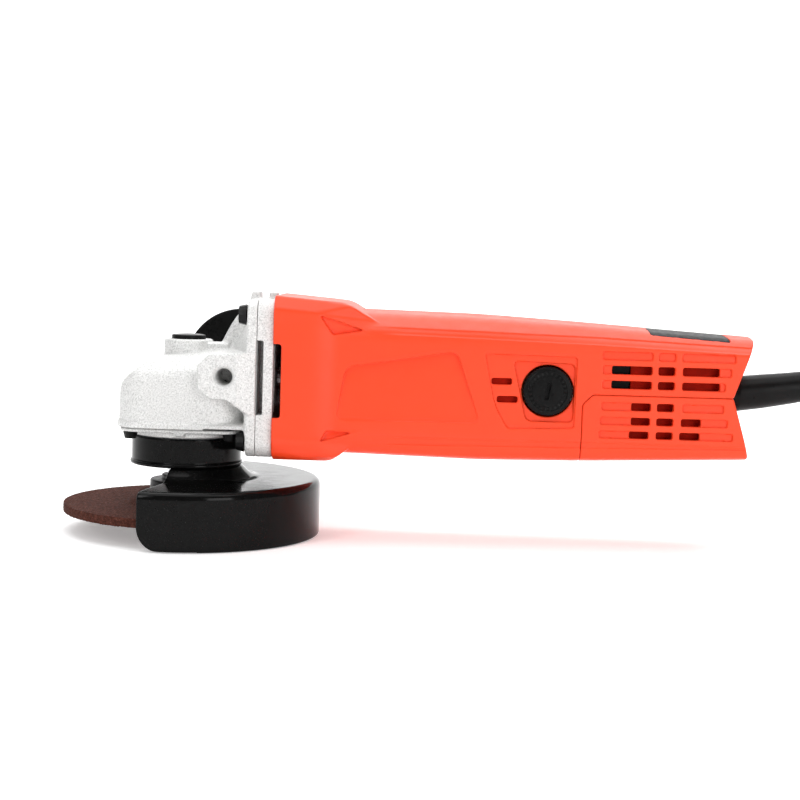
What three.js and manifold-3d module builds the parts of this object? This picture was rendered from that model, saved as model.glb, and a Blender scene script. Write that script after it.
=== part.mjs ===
// Angle grinder, 100 mm class: bevel-gear head, guarded disc, motor in a moulded body,
// side handle and mains lead. Millimetres, +Z up.
// Origin: centre of the spindle's end face. +Z runs up the spindle, +X to the rear of the tool,
// +Y to the side that the side handle is screwed into.
import * as THREE from 'three';
import { mergeVertices } from 'three/addons/utils/BufferGeometryUtils.js';
import Module from 'manifold-3d';

const wasm = await Module();
wasm.setup();

// ---- driving dimensions -------------------------------------------------------------------

const GAP = 0.3; // air kept between neighbouring pieces
const FLOOR_Z = -5.8; // what the guard's skirt and the coiled lead stand on
const MOTOR_Z = 58.6; // height of the armature's axis; it crosses the spindle's axis

const DISC = { radius: 50, bore: 8.2, bottomZ: 2, topZ: 6, rise: 4.5, dishInner: 19, dishOuter: 23.5 };
const INNER_FLANGE = { radius: 14.75, hub: 10, spigotZ: 7.6, bottomZ: 10.8, topZ: 15.5, hubTopZ: 17.5 };
const LOCK_NUT = { radius: 14, bottomZ: 1, topZ: 6.2, keyHoleAt: 10, keyHole: 2, keyDepth: 3 };
const SPINDLE = {
  thread: 4.9, neck: 7.7, seat: 6, tail: 4, neckZ: 17.8, seatZ: 26.2, tailZ: 50.5, topZ: 65.5, slotDepth: 3,
};
const LOCK = {
  slot: 2.6, blade: 2, pin: 3.1, button: 7, topZ: 76, headZ: 71, tipZ: 66, bladeZ: 69.4,
  bossRadius: 10, bossZ: 73.7, floorZ: 66.8, grooveInner: 4.2, grooveOuter: 5.8, grooveDepth: 3.8,
};

// The guard's skirt spans more of a turn than its neck: its ends run straight between the two.
const GUARD = {
  radius: 55.7, wall: 1.8, topZ: 17.3, roundZ: 13.8, roundR: 52.6, corner: 12,
  neckFoot: 27.6, neckTop: 22.5, neckTopZ: 22.4, bore: 20.9,
  skirtFrom: -102, skirtTo: 70, neckFrom: -100, neckTo: 57,
};
const COLLAR = {
  inner: 20.9, outer: 22.5, bottomZ: 22.7, topZ: 34.2, split: 4, earAt: 120, earZ: 26.7, earHalf: 3.7,
  earThick: 2.2, earTip: 32, boltAt: 28.2,
};

const BOX = {
  boss: 20.6, bossZ: 22.7, shoulder: 22.3, shoulderZ: 34.5, half: 24.6, corner: 7.6, bottomZ: 36.9, topZ: 38,
  bearing: 16.3, lipZ: 24.3,
  screwAt: 20, // each of its four screws is this far from the spindle along x and along y
};
const HEAD = {
  bottomZ: 38.3, rimZ: 40.8, rimHalf: 26.7, rimCorner: 13, half: 26, corner: 14, cavity: 22.3,
  shoulderZ: 55.3, browX: -13, browZ: 66.5, crownX: 17.3, crownZ: 70.8,
};

const FLANGE = {
  frontX: 26.6, seamX: 30.9, rearX: 37.4, z: 59.8, halfY: 29.5, halfZ: 31.3, corner: 6,
  screwY: 24.5, screwZ: 25.3,
};
const PAD = { fromX: 8, lowZ: 51.5, highZ: 69.5, face: 31.5, holeX: 18.2, holeZ: 60.5, hole: 3.6, depth: 14 };
const LUG = { frontX: [27, 30.5], frontY: 4, frontZ: 94.2, rearX: [33, 36.6], rearY: 3.2, rearZ: 94 };
const EXHAUST = { lowZ: 45.7, highZ: 75.2, toX: 33.6, fromY: 25 }; // cooling air's way out, on both sides

const GEAR = { teeth: 37, pitch: 19.5, face: 6.7, tip: 0.7, root: 1.5, backlash: 0.15, pressure: 22 };
const PINION_TEETH = 11;

// Moulded body: x, top z, bottom z and half-width of its sections, front to rear.
const BODY_STATIONS = [
  [37.7, 93.0, 27.3, 32.2], [64.0, 91.0, 27.3, 31.6], [69.3, 88.1, 31.0, 29.6],
  [120.0, 87.3, 30.1, 28.8], [160.0, 85.0, 30.6, 27.6], [231.0, 81.0, 33.0, 25.6],
];
const BODY_WALL = 2.5;
// Half of a section, from the middle of the base to the middle of the top, as shares of the
// half-width and of the height.
const BODY_OUTLINE = [
  [0, 0], [0.72, 0], [0.92, 0.04], [1, 0.13], [1, 0.84], [0.89, 0.905], [0.62, 0.97], [0, 1],
];

const PARTING = { z: 57.7, frontX: 160.3, chamfer: 4 }; // where the lower rear cover meets the body
const REAR = { topX: 230.8, apexX: 222, bottomX: 228.2 }; // the tail's notched end
const BRUSH = { x: 146.3, radius: 10, hole: 3.8, seat: 24.9, face: 28.2 };
const VENTS = {
  height: 3.4, columns: [[170.8, 187.4], [190.1, 196.8], [199.5, 214.5]],
  housingRows: [60.4, 66.1], coverRows: [40.6, 46, 51.6], // each row's lower edge
};
const LABEL_PLATE = { fromX: 187.5, toX: 219.5, half: 18.5, sunk: 0.1, foot: 1.1 };
const SWITCH = { fromX: 78, toX: 104, lowZ: 68, highZ: 78, barY: [22.6, 24.8], barZ: [70.5, 73], barTo: 167 };
const ARMATURE = { radius: 16.8, fromX: 72, toX: 118, shaft: 4.9 };

const LEAD_Z = 57.5; // height at which the lead enters the tail
const CORD = { diameter: 7, exitX: 262.3, exitZ: 63.3, slope: 10, bend: 38 };
const COIL = { middle: 42, layers: 2, columns: 3, lift: 0.7 };

// ---- materials ----------------------------------------------------------------------------

function finish(color, roughness, metalness) {
  return new THREE.MeshStandardMaterial({ color, roughness, metalness });
}

const CAST_ALUMINIUM = finish(0xc9c8c6, 0.5, 0.8);
const RED_PLASTIC = finish(0xf4532f, 0.42, 0);
const BLACK_PLASTIC = finish(0x1d1d1e, 0.4, 0);
const BLACK_PAINT = finish(0x101010, 0.15, 0.2);
const BLACK_RUBBER = finish(0x191919, 0.7, 0);
const BRIGHT_STEEL = finish(0xb9babc, 0.3, 1);
const BLACK_STEEL = finish(0x2a2a2c, 0.4, 0.8);
const SILICON_STEEL = finish(0x77787a, 0.5, 0.9);
const COPPER = finish(0xb4683a, 0.35, 1);
const BRASS = finish(0xc6a24e, 0.35, 1);
const CARBON = finish(0x2b2b2d, 0.8, 0);
const RESIN = finish(0x4a2a24, 0.9, 0);
const WHITE_PLASTIC = finish(0xd9d7d0, 0.5, 0);
const LABEL = finish(0x3b3b3d, 0.5, 0);

// ---- building blocks ----------------------------------------------------------------------

// A closed solid from a three.js geometry, whichever way round its triangles run.
function solid(geometry) {
  const bare = geometry.clone();
  bare.deleteAttribute('normal');
  bare.deleteAttribute('uv');
  const merged = mergeVertices(bare, 1e-4);
  const at = merged.getAttribute('position');
  const triangles = [];
  const index = merged.getIndex();
  let volume = 0;
  const [a, b, c] = [new THREE.Vector3(), new THREE.Vector3(), new THREE.Vector3()];
  for (let i = 0; i < index.count; i += 3) {
    const [p, q, r] = [index.getX(i), index.getX(i + 1), index.getX(i + 2)];
    if (p === q || q === r || r === p) continue;
    triangles.push(p, q, r);
    a.fromBufferAttribute(at, p);
    b.fromBufferAttribute(at, q);
    c.fromBufferAttribute(at, r);
    volume += a.dot(b.cross(c));
  }
  if (volume < 0) triangles.reverse();
  const mesh = new wasm.Mesh({
    numProp: 3,
    vertProperties: new Float32Array(at.array),
    triVerts: new Uint32Array(triangles),
  });
  return new wasm.Manifold(mesh);
}

function toGeometry(shape) {
  const { vertProperties, triVerts } = shape.getMesh();
  const geometry = new THREE.BufferGeometry();
  geometry.setAttribute('position', new THREE.BufferAttribute(vertProperties, 3));
  geometry.setIndex(new THREE.BufferAttribute(triVerts, 1));
  geometry.computeVertexNormals();
  return geometry;
}

const join = (...shapes) => shapes.reduce((whole, shape) => whole.add(shape));
const cut = (whole, ...tools) => tools.reduce((left, tool) => left.subtract(tool), whole);

function box([x0, x1], [y0, y1], [z0, z1]) {
  const geometry = new THREE.BoxGeometry(x1 - x0, y1 - y0, z1 - z0);
  return solid(geometry.translate((x0 + x1) / 2, (y0 + y1) / 2, (z0 + z1) / 2));
}

// Turns a geometry built along z so that it runs along the named axis.
function along(axis, geometry) {
  if (axis === 'x') return geometry.rotateX(Math.PI / 2).rotateZ(Math.PI / 2);
  if (axis === 'y') return geometry.rotateX(Math.PI / 2).scale(1, -1, 1);
  return geometry;
}

// A solid with a flat outline, from one place to another along an axis. The outline's own axes
// are y and z for 'x', x and z for 'y', x and y for 'z'.
function prism(axis, outline, from, to) {
  const shape = new THREE.Shape(outline.map(([u, v]) => new THREE.Vector2(u, v)));
  const geometry = new THREE.ExtrudeGeometry(shape, { depth: to - from, bevelEnabled: false });
  return solid(along(axis, geometry.translate(0, 0, from)));
}

function rounded(halfU, halfV, radius, centreU = 0, centreV = 0, steps = 4) {
  const points = [];
  [[1, 1], [-1, 1], [-1, -1], [1, -1]].forEach(([su, sv], quarter) => {
    for (let i = 0; i <= steps; i += 1) {
      const angle = (quarter + i / steps) * Math.PI / 2;
      points.push([
        centreU + su * (halfU - radius) + radius * Math.cos(angle),
        centreV + sv * (halfV - radius) + radius * Math.sin(angle),
      ]);
    }
  });
  return points;
}

function rod(axis, radius, from, to, [u, v] = [0, 0], sides = 18, endRadius = radius) {
  const geometry = new THREE.CylinderGeometry(endRadius, radius, to - from, sides);
  geometry.rotateX(Math.PI / 2).translate(u, v, (from + to) / 2);
  return solid(along(axis, geometry));
}

// A solid of revolution about the local z axis, from [radius, z] points.
function turned(profile, sides = 24) {
  const points = profile.map(([r, z]) => new THREE.Vector2(r, z));
  const onAxis = profile[0][0] === 0 && profile[profile.length - 1][0] === 0;
  if (!onAxis) points.push(points[0].clone());
  return solid(new THREE.LatheGeometry(points, sides).rotateX(Math.PI / 2));
}

function ring(inner, outer, from, to, sides = 24) {
  return turned([[inner, from], [outer, from], [outer, to], [inner, to]], sides);
}

function polar(radius, degrees) {
  const angle = THREE.MathUtils.degToRad(degrees);
  return [radius * Math.cos(angle), radius * Math.sin(angle)];
}

function arc(reach, fromDegrees, toDegrees) {
  const steps = Math.ceil((toDegrees - fromDegrees) / 20);
  return Array.from({ length: steps + 1 }, (_, i) => (
    polar(reach, fromDegrees + (toDegrees - fromDegrees) * i / steps)
  ));
}

// The wedge between two angles about z, in degrees, as a tall prism.
function wedge(fromDegrees, toDegrees, reach, z0, z1) {
  return prism('z', [[0, 0], ...arc(reach, fromDegrees, toDegrees)], z0, z1);
}

const mirrored = (shape) => shape.scale([1, -1, 1]);

const model = new THREE.Group();
const spindleLine = new THREE.Group(); // local z is the spindle's axis
const motorLine = new THREE.Group(); // local z is the armature's axis and world x
motorLine.rotation.set(0, Math.PI / 2, 0);
motorLine.position.set(0, 0, MOTOR_Z);
const handleLine = new THREE.Group(); // local z leads out along the side handle
handleLine.rotation.set(-Math.PI / 2, 0, 0);
handleLine.position.set(PAD.holeX, PAD.face, PAD.holeZ);
model.add(spindleLine, motorLine, handleLine);

function place(parent, name, material, shape) {
  const mesh = new THREE.Mesh(toGeometry(shape), material);
  mesh.name = name;
  parent.add(mesh);
}

// ---- disc, flanges and guard --------------------------------------------------------------

function grindingDisc() {
  const { radius, bore, bottomZ, topZ, rise, dishInner, dishOuter } = DISC;
  return turned([
    [bore, bottomZ + rise], [dishInner, bottomZ + rise], [dishOuter, bottomZ], [radius, bottomZ],
    [radius, topZ], [dishOuter + 1, topZ], [dishInner + 1, topZ + rise], [bore, topZ + rise],
  ], 36);
}

function innerFlange() {
  const { radius, hub, spigotZ, bottomZ, topZ, hubTopZ } = INNER_FLANGE;
  const bore = SPINDLE.thread + GAP;
  const spigot = DISC.bore - GAP;
  return turned([
    [bore, spigotZ], [spigot, spigotZ], [spigot, bottomZ], [radius, bottomZ], [radius, topZ],
    [hub, topZ], [hub, hubTopZ], [bore, hubTopZ],
  ]);
}

function lockNut() {
  const { radius, bottomZ, topZ, keyHoleAt, keyHole, keyDepth } = LOCK_NUT;
  const body = ring(SPINDLE.thread + GAP, radius, bottomZ, topZ);
  const keyHoles = [0, 90, 180, 270].map((degrees) => (
    rod('z', keyHole, bottomZ - 1, bottomZ + keyDepth, polar(keyHoleAt, degrees), 8)
  ));
  return cut(body, ...keyHoles);
}

function spindle() {
  const { thread, neck, seat, tail, neckZ, seatZ, tailZ, topZ, slotDepth } = SPINDLE;
  const bar = turned([
    [0, 0], [thread, 0], [thread, neckZ], [neck, neckZ], [neck, seatZ], [seat, seatZ],
    [seat, tailZ], [tail, tailZ], [tail, topZ], [0, topZ],
  ]);
  const half = LOCK.slot / 2;
  const slotZ = [topZ - slotDepth, topZ + 1];
  return cut(bar, box([-seat, seat], [-half, half], slotZ), box([-half, half], [-seat, seat], slotZ));
}

// What lies between the guard's two ends, seen from above.
function guardSector() {
  const { radius, neckTop, neckTopZ, skirtFrom, skirtTo, neckFrom, neckTo } = GUARD;
  const beyond = (neck, skirt) => skirt.map((value, i) => neck[i] + 2 * (value - neck[i]));
  const [nearNeck, farNeck] = [polar(neckTop, neckFrom), polar(neckTop, neckTo)];
  const outline = [
    [0, 0], nearNeck, beyond(nearNeck, polar(radius, skirtFrom)),
    ...arc(2 * radius, skirtFrom + 20, skirtTo - 20),
    beyond(farNeck, polar(radius, skirtTo)), farNeck,
  ];
  return prism('z', outline, FLOOR_Z - 1, neckTopZ + 1);
}

function wheelGuard() {
  const { radius, wall, topZ, roundZ, roundR, neckFoot, neckTop, neckTopZ, bore, skirtFrom, corner } = GUARD;
  const shell = turned([
    [bore, neckTopZ - wall], [neckFoot - wall, topZ - wall], [roundR - wall, topZ - wall],
    [radius - wall, roundZ - wall / 2], [radius - wall, FLOOR_Z], [radius, FLOOR_Z], [radius, roundZ],
    [(radius + roundR) / 2 + 0.6, topZ - 1], [roundR, topZ], [neckFoot, topZ], [neckTop, neckTopZ],
    [bore, neckTopZ],
  ], 40);
  const neckFloor = ring(bore, neckFoot - wall, topZ - wall, topZ, 40);
  // The skirt's front lower corner is cut back along a slope.
  const slope = prism('y', [
    [-corner, -corner], [corner * 1.25, -corner], [0, corner], [-corner, corner],
  ], -corner, corner);
  const cornerCut = slope.rotate([0, 0, skirtFrom + 90]).translate([...polar(radius, skirtFrom), FLOOR_Z]);
  return cut(join(shell, neckFloor).intersect(guardSector()), cornerCut);
}

const earFace = COLLAR.split / 2 + COLLAR.earThick;
const boltPlace = [COLLAR.boltAt, COLLAR.earZ];

function guardCollar() {
  const { inner, outer, bottomZ, topZ, split, earAt, earZ, earHalf, earTip } = COLLAR;
  const band = ring(inner, outer, bottomZ, topZ, 32);
  const ear = box([inner + GAP, earTip], [split / 2, earFace], [earZ - earHalf, earZ + earHalf]);
  const slit = box([inner - 2, earTip + 2], [-split / 2, split / 2], [bottomZ - 1, topZ + 1]);
  const clamp = cut(
    join(band, ear, mirrored(ear)), slit,
    rod('y', 2.3, -2 * earFace, 2 * earFace, boltPlace, 10),
    rod('z', inner, bottomZ - 1, topZ + 1, [0, 0], 32),
  );
  return clamp.rotate([0, 0, earAt]);
}

// The clamp's screw and nut lie across the collar's ears.
function clampScrew() {
  const [x, z] = boltPlace;
  const headFrom = earFace + GAP;
  const head = cut(
    rod('y', 3.6, headFrom, headFrom + 3, boltPlace, 14),
    box([x - 5, x + 5], [headFrom + 1.8, headFrom + 4], [z - 0.6, z + 0.6]),
  );
  return join(head, rod('y', 2, -9.5, headFrom + 0.1, boltPlace, 10)).rotate([0, 0, COLLAR.earAt]);
}

function clampNut() {
  const face = -earFace - GAP;
  const nut = rod('y', 3.7, face - 3, face, boltPlace, 6);
  return cut(nut, rod('y', 2.3, face - 4, face + 1, boltPlace, 10)).rotate([0, 0, COLLAR.earAt]);
}

// ---- gear head ----------------------------------------------------------------------------

const corners = [[-1, -1], [-1, 1], [1, -1], [1, 1]];
const boxScrewPlaces = corners.map(([sx, sy]) => [sx * BOX.screwAt, sy * BOX.screwAt]);
const flangeScrewPlaces = corners.map(([sy, sz]) => [sy * FLANGE.screwY, FLANGE.z + sz * FLANGE.screwZ]);

// Room for the flange screws' heads where they sit in the castings' corners.
const flangeHeadRoom = flangeScrewPlaces.map((at) => rod('x', 4.9, 22.6, FLANGE.frontX, at, 8));

function bearingBox() {
  const { boss, bossZ, shoulder, shoulderZ, half, corner, bottomZ, topZ, bearing, lipZ } = BOX;
  const plate = prism('z', rounded(half, half, corner), bottomZ, topZ);
  const body = join(
    plate, rod('z', shoulder, shoulderZ, topZ, [0, 0], 32), rod('z', boss, bossZ, topZ, [0, 0], 32),
  );
  const holes = boxScrewPlaces.map((at) => rod('z', 2.2, bottomZ - 1, topZ + 1, at, 10));
  return cut(
    body,
    rod('z', SPINDLE.neck + 0.8, bossZ - 1, lipZ + 1, [0, 0], 24),
    rod('z', bearing, lipZ, topZ + 1, [0, 0], 24),
    ...holes,
    ...flangeHeadRoom,
  );
}

// A pan-head screw that points along +z of its axis, head first at the start.
function panScrew(axis, at, headFrom, headTo, tip, headRadius, shaftRadius) {
  const head = rod(axis, headRadius - 0.7, headFrom, headTo, at, 12, headRadius);
  const [u, v] = at;
  const [depth, reach, halfSlot] = [headFrom + 1.1, headRadius * 0.72, 0.45];
  const slot = axis === 'x'
    ? box([headFrom - 1, depth], [u - halfSlot, u + halfSlot], [v - reach, v + reach])
    : box([u - halfSlot, u + halfSlot], [v - reach, v + reach], [headFrom - 1, depth]);
  return cut(join(head, rod(axis, shaftRadius, headTo - 0.2, tip, at, 8)), slot);
}

const flangeOutline = rounded(FLANGE.halfY, FLANGE.halfZ, FLANGE.corner, 0, FLANGE.z);

// The gear housing's outer form: a block with a sloping brow and roof, opening into the flange.
function headForm() {
  const { bottomZ, rimZ, rimHalf, rimCorner, half, corner, shoulderZ, browX, browZ, crownX, crownZ } = HEAD;
  const backX = FLANGE.frontX + 0.2;
  const behind = (x) => box([x, backX], [-40, 40], [bottomZ, 100]);
  const plan = prism('z', rounded((half + backX) / 2, half, corner, (backX - half) / 2, 0, 4), bottomZ, 90)
    .add(box([0, backX], [-half, half], [bottomZ, 90]));
  const side = prism('y', [
    [-half - 2, bottomZ - 1], [-half + 0.4, shoulderZ], [browX, browZ], [crownX, crownZ], [backX, crownZ],
    [backX, bottomZ - 1],
  ], -40, 40);
  const roof = prism('x', [
    [-half, 0], [half, 0], [half, 58], [12, 69.5], [8, 74], [-8, 74], [-12, 69.5], [-half, 58],
  ], -40, 40);
  const neck = rod('x', 10.4, 17.2, backX, [0, FLANGE.z], 24, 28).intersect(behind(0));
  const rim = prism('z', rounded(rimHalf, rimHalf, rimCorner), bottomZ, rimZ).intersect(behind(-30));
  const plate = prism('x', flangeOutline, FLANGE.frontX, FLANGE.seamX);
  const pads = box([PAD.fromX, backX], [-PAD.face, PAD.face], [PAD.lowZ, PAD.highZ]);
  const lug = box(LUG.frontX, [-LUG.frontY, LUG.frontY], [FLANGE.z, LUG.frontZ]);
  const lockBoss = rod('z', LOCK.bossRadius, 60, LOCK.bossZ, [0, 0], 24);
  return join(plan.intersect(side).intersect(roof), neck, rim, plate, pads, lug, lockBoss);
}

function gearHousing() {
  const { bottomZ, cavity } = HEAD;
  const bush = rod('z', 9, 58, 66, [0, 0], 20);
  const gearRoom = cut(turned([
    [0, bottomZ - 1], [cavity, bottomZ - 1], [cavity, 55.5], [14, 61], [0, 61],
  ], 24), bush);
  const pinionRoom = rod('x', 9.3, 9.6, 25, [0, MOTOR_Z]);
  const bearingRoom = rod('x', 14, 24, FLANGE.seamX + 1, [0, MOTOR_Z]);
  const handleHole = rod('y', PAD.hole, PAD.face - PAD.depth, PAD.face + 1, [PAD.holeX, PAD.holeZ], 16);
  return cut(
    headForm(), gearRoom, pinionRoom, bearingRoom, handleHole, mirrored(handleHole),
    rod('z', 6.9, 50, SPINDLE.topZ + GAP, [0, 0], 20),
    rod('z', LOCK.pin + 0.4, 60, 70, [0, 0], 16),
    rod('z', LOCK.button + 0.4, LOCK.floorZ, 80, [0, 0], 24),
    ...boxScrewPlaces.map((at) => rod('z', 2.1, bottomZ - 1, 48, at, 6)),
    ...flangeScrewPlaces.map((at) => rod('x', 2.4, 20, 40, at, 8)),
    ...flangeHeadRoom,
  );
}

function gearHousingCover() {
  const { lowZ, highZ, toX, fromY } = EXHAUST;
  const from = FLANGE.seamX + GAP;
  const plate = prism('x', flangeOutline, from, FLANGE.rearX);
  const nub = box(LUG.rearX, [-LUG.rearY, LUG.rearY], [FLANGE.z, LUG.rearZ]);
  // Air comes forwards through a duct and leaves by a slot in the side.
  const slot = box([from + 0.9, toX], [fromY, FLANGE.halfY + 1], [lowZ, highZ]);
  const duct = box([from + 1.6, FLANGE.rearX + 1], [fromY - 6, fromY + 1.6], [lowZ + 0.8, highZ - 0.8]);
  const airWay = join(slot, duct);
  return cut(
    join(plate, nub), airWay, mirrored(airWay),
    rod('x', 13.3, from - 1, 36.4, [0, MOTOR_Z], 24),
    rod('x', 9.6, from - 1, 39, [0, MOTOR_Z], 32),
    ...flangeScrewPlaces.map((at) => rod('x', 2.4, 20, 40, at, 8)),
  );
}

// ---- bevel gears --------------------------------------------------------------------------
// Every line of both gears' teeth runs to the point where the two axes cross, so a tooth is one
// outline at the large end and the same outline shrunk towards that point at the small end.

const pinionPitch = GEAR.pitch * PINION_TEETH / GEAR.teeth;
const coneLength = Math.hypot(GEAR.pitch, pinionPitch);
const innerScale = 1 - GEAR.face / coneLength;
const pressureSlope = Math.tan(THREE.MathUtils.degToRad(GEAR.pressure));
const halfTooth = Math.PI * GEAR.pitch / GEAR.teeth / 2 - GEAR.backlash;

// A block between an outline and its copy shrunk towards the crossing point.
function convergingBlock(outline) {
  const geometry = new THREE.BoxGeometry(1, 1, 1);
  const at = geometry.getAttribute('position');
  for (let i = 0; i < at.count; i += 1) {
    const corner = outline[(at.getX(i) > 0 ? 1 : 0) + (at.getY(i) > 0 ? 2 : 0)];
    const scale = at.getZ(i) > 0 ? innerScale + 0.02 : 0.985;
    at.setXYZ(i, corner[0] * scale, corner[1] * scale, corner[2] * scale);
  }
  return solid(geometry);
}

function bevelGear() {
  const outward = new THREE.Vector3(GEAR.pitch, 0, -pinionPitch);
  const lift = new THREE.Vector3(pinionPitch, 0, GEAR.pitch).normalize();
  const edge = (height, side) => {
    const point = outward.clone().addScaledVector(lift, height);
    point.y = side * (halfTooth - height * pressureSlope);
    return point.toArray();
  };
  const tooth = convergingBlock([
    edge(-GEAR.root - 0.8, -1), edge(-GEAR.root - 0.8, 1), edge(GEAR.tip, -1), edge(GEAR.tip, 1),
  ]);
  const pitchAngle = 360 / GEAR.teeth;
  const teeth = Array.from({ length: GEAR.teeth }, (_, i) => tooth.rotate([0, 0, (i + 0.5) * pitchAngle]));
  const face = (radiusShare) => {
    const root = outward.clone().addScaledVector(lift, -GEAR.root).multiplyScalar(radiusShare);
    return [root.x, root.z];
  };
  const [outer, inner] = [face(1), face(innerScale)];
  const bore = SPINDLE.seat + GAP;
  const blank = turned([
    [bore, 37.4 - MOTOR_Z], [9, 37.4 - MOTOR_Z], [9, 46 - MOTOR_Z], [outer[0], 46 - MOTOR_Z],
    outer, inner, [bore, inner[1]],
  ], 37);
  return join(blank, ...teeth).translate([0, 0, MOTOR_Z]);
}

// The involute flank's half-angle, in radians, at a radius of the pinion.
function flankAngle(radius) {
  const base = pinionPitch * Math.cos(THREE.MathUtils.degToRad(GEAR.pressure));
  const involute = (r) => {
    const angle = Math.acos(Math.min(1, base / r));
    return Math.tan(angle) - angle;
  };
  return halfTooth / pinionPitch + involute(pinionPitch) - involute(Math.max(radius, base));
}

function pinion() {
  const tipRadius = pinionPitch + 1.05;
  const rootRadius = pinionPitch - 1.2;
  const points = [];
  for (let i = 0; i < PINION_TEETH; i += 1) {
    const centre = 2 * Math.PI * i / PINION_TEETH;
    const flank = [rootRadius, pinionPitch, tipRadius].map((r) => [r, flankAngle(r)]);
    [...flank.map(([r, a]) => [r, -a]), ...flank.reverse()].forEach(([r, a]) => {
      points.push(new THREE.Vector2(r * Math.cos(centre + a), r * Math.sin(centre + a)));
    });
  }
  const geometry = new THREE.ExtrudeGeometry(new THREE.Shape(points), { depth: 1, bevelEnabled: false });
  const at = geometry.getAttribute('position');
  for (let i = 0; i < at.count; i += 1) {
    const scale = at.getZ(i) > 0.5 ? 1 : innerScale;
    at.setXYZ(i, at.getX(i) * scale, at.getY(i) * scale, GEAR.pitch * scale);
  }
  const hub = rod('z', pinionPitch - 1.3, GEAR.pitch - 0.2, 27.9, [0, 0], 12);
  return cut(join(solid(geometry), hub), rod('z', 2.3, 0, 40, [0, 0], 12));
}

// ---- lock button --------------------------------------------------------------------------

function lockButton() {
  const { blade, pin, button, topZ, headZ, tipZ, bladeZ, grooveInner, grooveOuter, grooveDepth } = LOCK;
  const head = turned([
    [0, headZ], [button, headZ], [button, topZ - 0.8], [button - 0.9, topZ], [0, topZ],
  ], 24);
  const springGroove = ring(grooveInner, grooveOuter, headZ - 1, headZ + grooveDepth);
  const shaft = rod('z', pin, bladeZ, headZ + 1, [0, 0], 16);
  const flats = box([-button, button], [-blade / 2, blade / 2], [tipZ, headZ]);
  const tip = rod('z', pin, tipZ, headZ, [0, 0], 16).intersect(flats);
  return join(cut(head, springGroove), shaft, tip);
}

function lockSpring() {
  const turns = 4;
  const wire = 0.4;
  const radius = (LOCK.grooveInner + LOCK.grooveOuter) / 2;
  const [low, high] = [LOCK.floorZ + 2 * wire, LOCK.headZ + LOCK.grooveDepth - 2 * wire];
  class Helix extends THREE.Curve {
    getPoint(t) {
      const angle = 2 * Math.PI * turns * t;
      return new THREE.Vector3(radius * Math.cos(angle), radius * Math.sin(angle), low + (high - low) * t);
    }
  }
  const section = new THREE.Shape();
  section.absarc(0, 0, wire, 0, 2 * Math.PI);
  return solid(new THREE.ExtrudeGeometry(section, {
    steps: turns * 10, curveSegments: 2, bevelEnabled: false, extrudePath: new Helix(),
  }));
}

// ---- moulded body -------------------------------------------------------------------------

// The body's form between its stations, shrunk by an inset on every side.
function bodyForm(inset, stretch = 0) {
  const half = BODY_OUTLINE;
  const outline = [...half, ...half.slice(1, -1).reverse().map(([u, v]) => [-u, v])];
  const shape = new THREE.Shape(outline.map(([u, v]) => new THREE.Vector2(u, v)));
  const steps = BODY_STATIONS.length - 1;
  const geometry = new THREE.ExtrudeGeometry(shape, { depth: steps, steps, bevelEnabled: false });
  const at = geometry.getAttribute('position');
  for (let i = 0; i < at.count; i += 1) {
    const station = Math.round(at.getZ(i));
    const [x, top, bottom, width] = BODY_STATIONS[station];
    const end = station === 0 ? -stretch : station === steps ? stretch : 0;
    const [low, high] = [bottom + inset, top - inset];
    at.setXYZ(i, x + end, at.getX(i) * (width - inset), low + at.getY(i) * (high - low));
  }
  return solid(geometry);
}

// All that lies in front of the notched tail, moved forwards by an inset.
function aheadOfTail(inset) {
  const { topX, apexX, bottomX } = REAR;
  return prism('y', [
    [0, 0], [bottomX - inset + 1.5, 0], [bottomX - inset, 33], [apexX - inset, PARTING.z],
    [topX - inset, 81], [topX - inset + 3, 100], [0, 100],
  ], -60, 60);
}

// The space of the lower rear cover, grown on every side by a margin.
function coverSpace(margin) {
  const { z, frontX, chamfer } = PARTING;
  const x = frontX - margin;
  return prism('y', [
    [x, 0], [260, 0], [260, z + margin], [x + chamfer, z + margin], [x, z - chamfer + margin],
  ], -60, 60);
}

function bodyShell() {
  return cut(bodyForm(0).intersect(aheadOfTail(0)), bodyForm(BODY_WALL, 3).intersect(aheadOfTail(3)));
}

// Rows of slots through both sides.
function ventSlots(rows) {
  const { height, columns } = VENTS;
  const slots = rows.flatMap((z) => columns.map((reach) => box(reach, [18, 30], [z, z + height])));
  return [...slots, ...slots.map(mirrored)];
}

const coverScrewPlaces = [[171, -15], [171, 15]];

// The hole that the cord guard comes out by, half in each of the two shells.
const leadHole = rod('x', 7.6, 215, 235, [0, LEAD_Z], 20);

// What the motor housing holds things with: screw bosses, brush tubes and the rear bearing's spider.
function housingFittings() {
  const inner = bodyForm(BODY_WALL - 0.5, 3);
  const frontBosses = flangeScrewPlaces.map((at) => rod('x', 4.6, BODY_STATIONS[0][0], 60, at, 8));
  const coverBosses = coverScrewPlaces.map((at) => rod('z', 4, PARTING.z + GAP / 2, 90, at, 8));
  const brushTube = rod('y', BRUSH.radius + 1.2, 18, 40, [BRUSH.x, MOTOR_Z], 12);
  const pocket = rod('x', 14, 155.5, 167, [0, MOTOR_Z], 16);
  const spider = [
    box([156, 159], [-40, 40], [MOTOR_Z - 3, MOTOR_Z + 3]),
    box([156, 159], [-3, 3], [20, 100]),
  ];
  const reaching = [...frontBosses, ...coverBosses, brushTube, mirrored(brushTube), ...spider];
  return join(pocket, ...reaching.map((shape) => shape.intersect(inner)));
}

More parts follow.
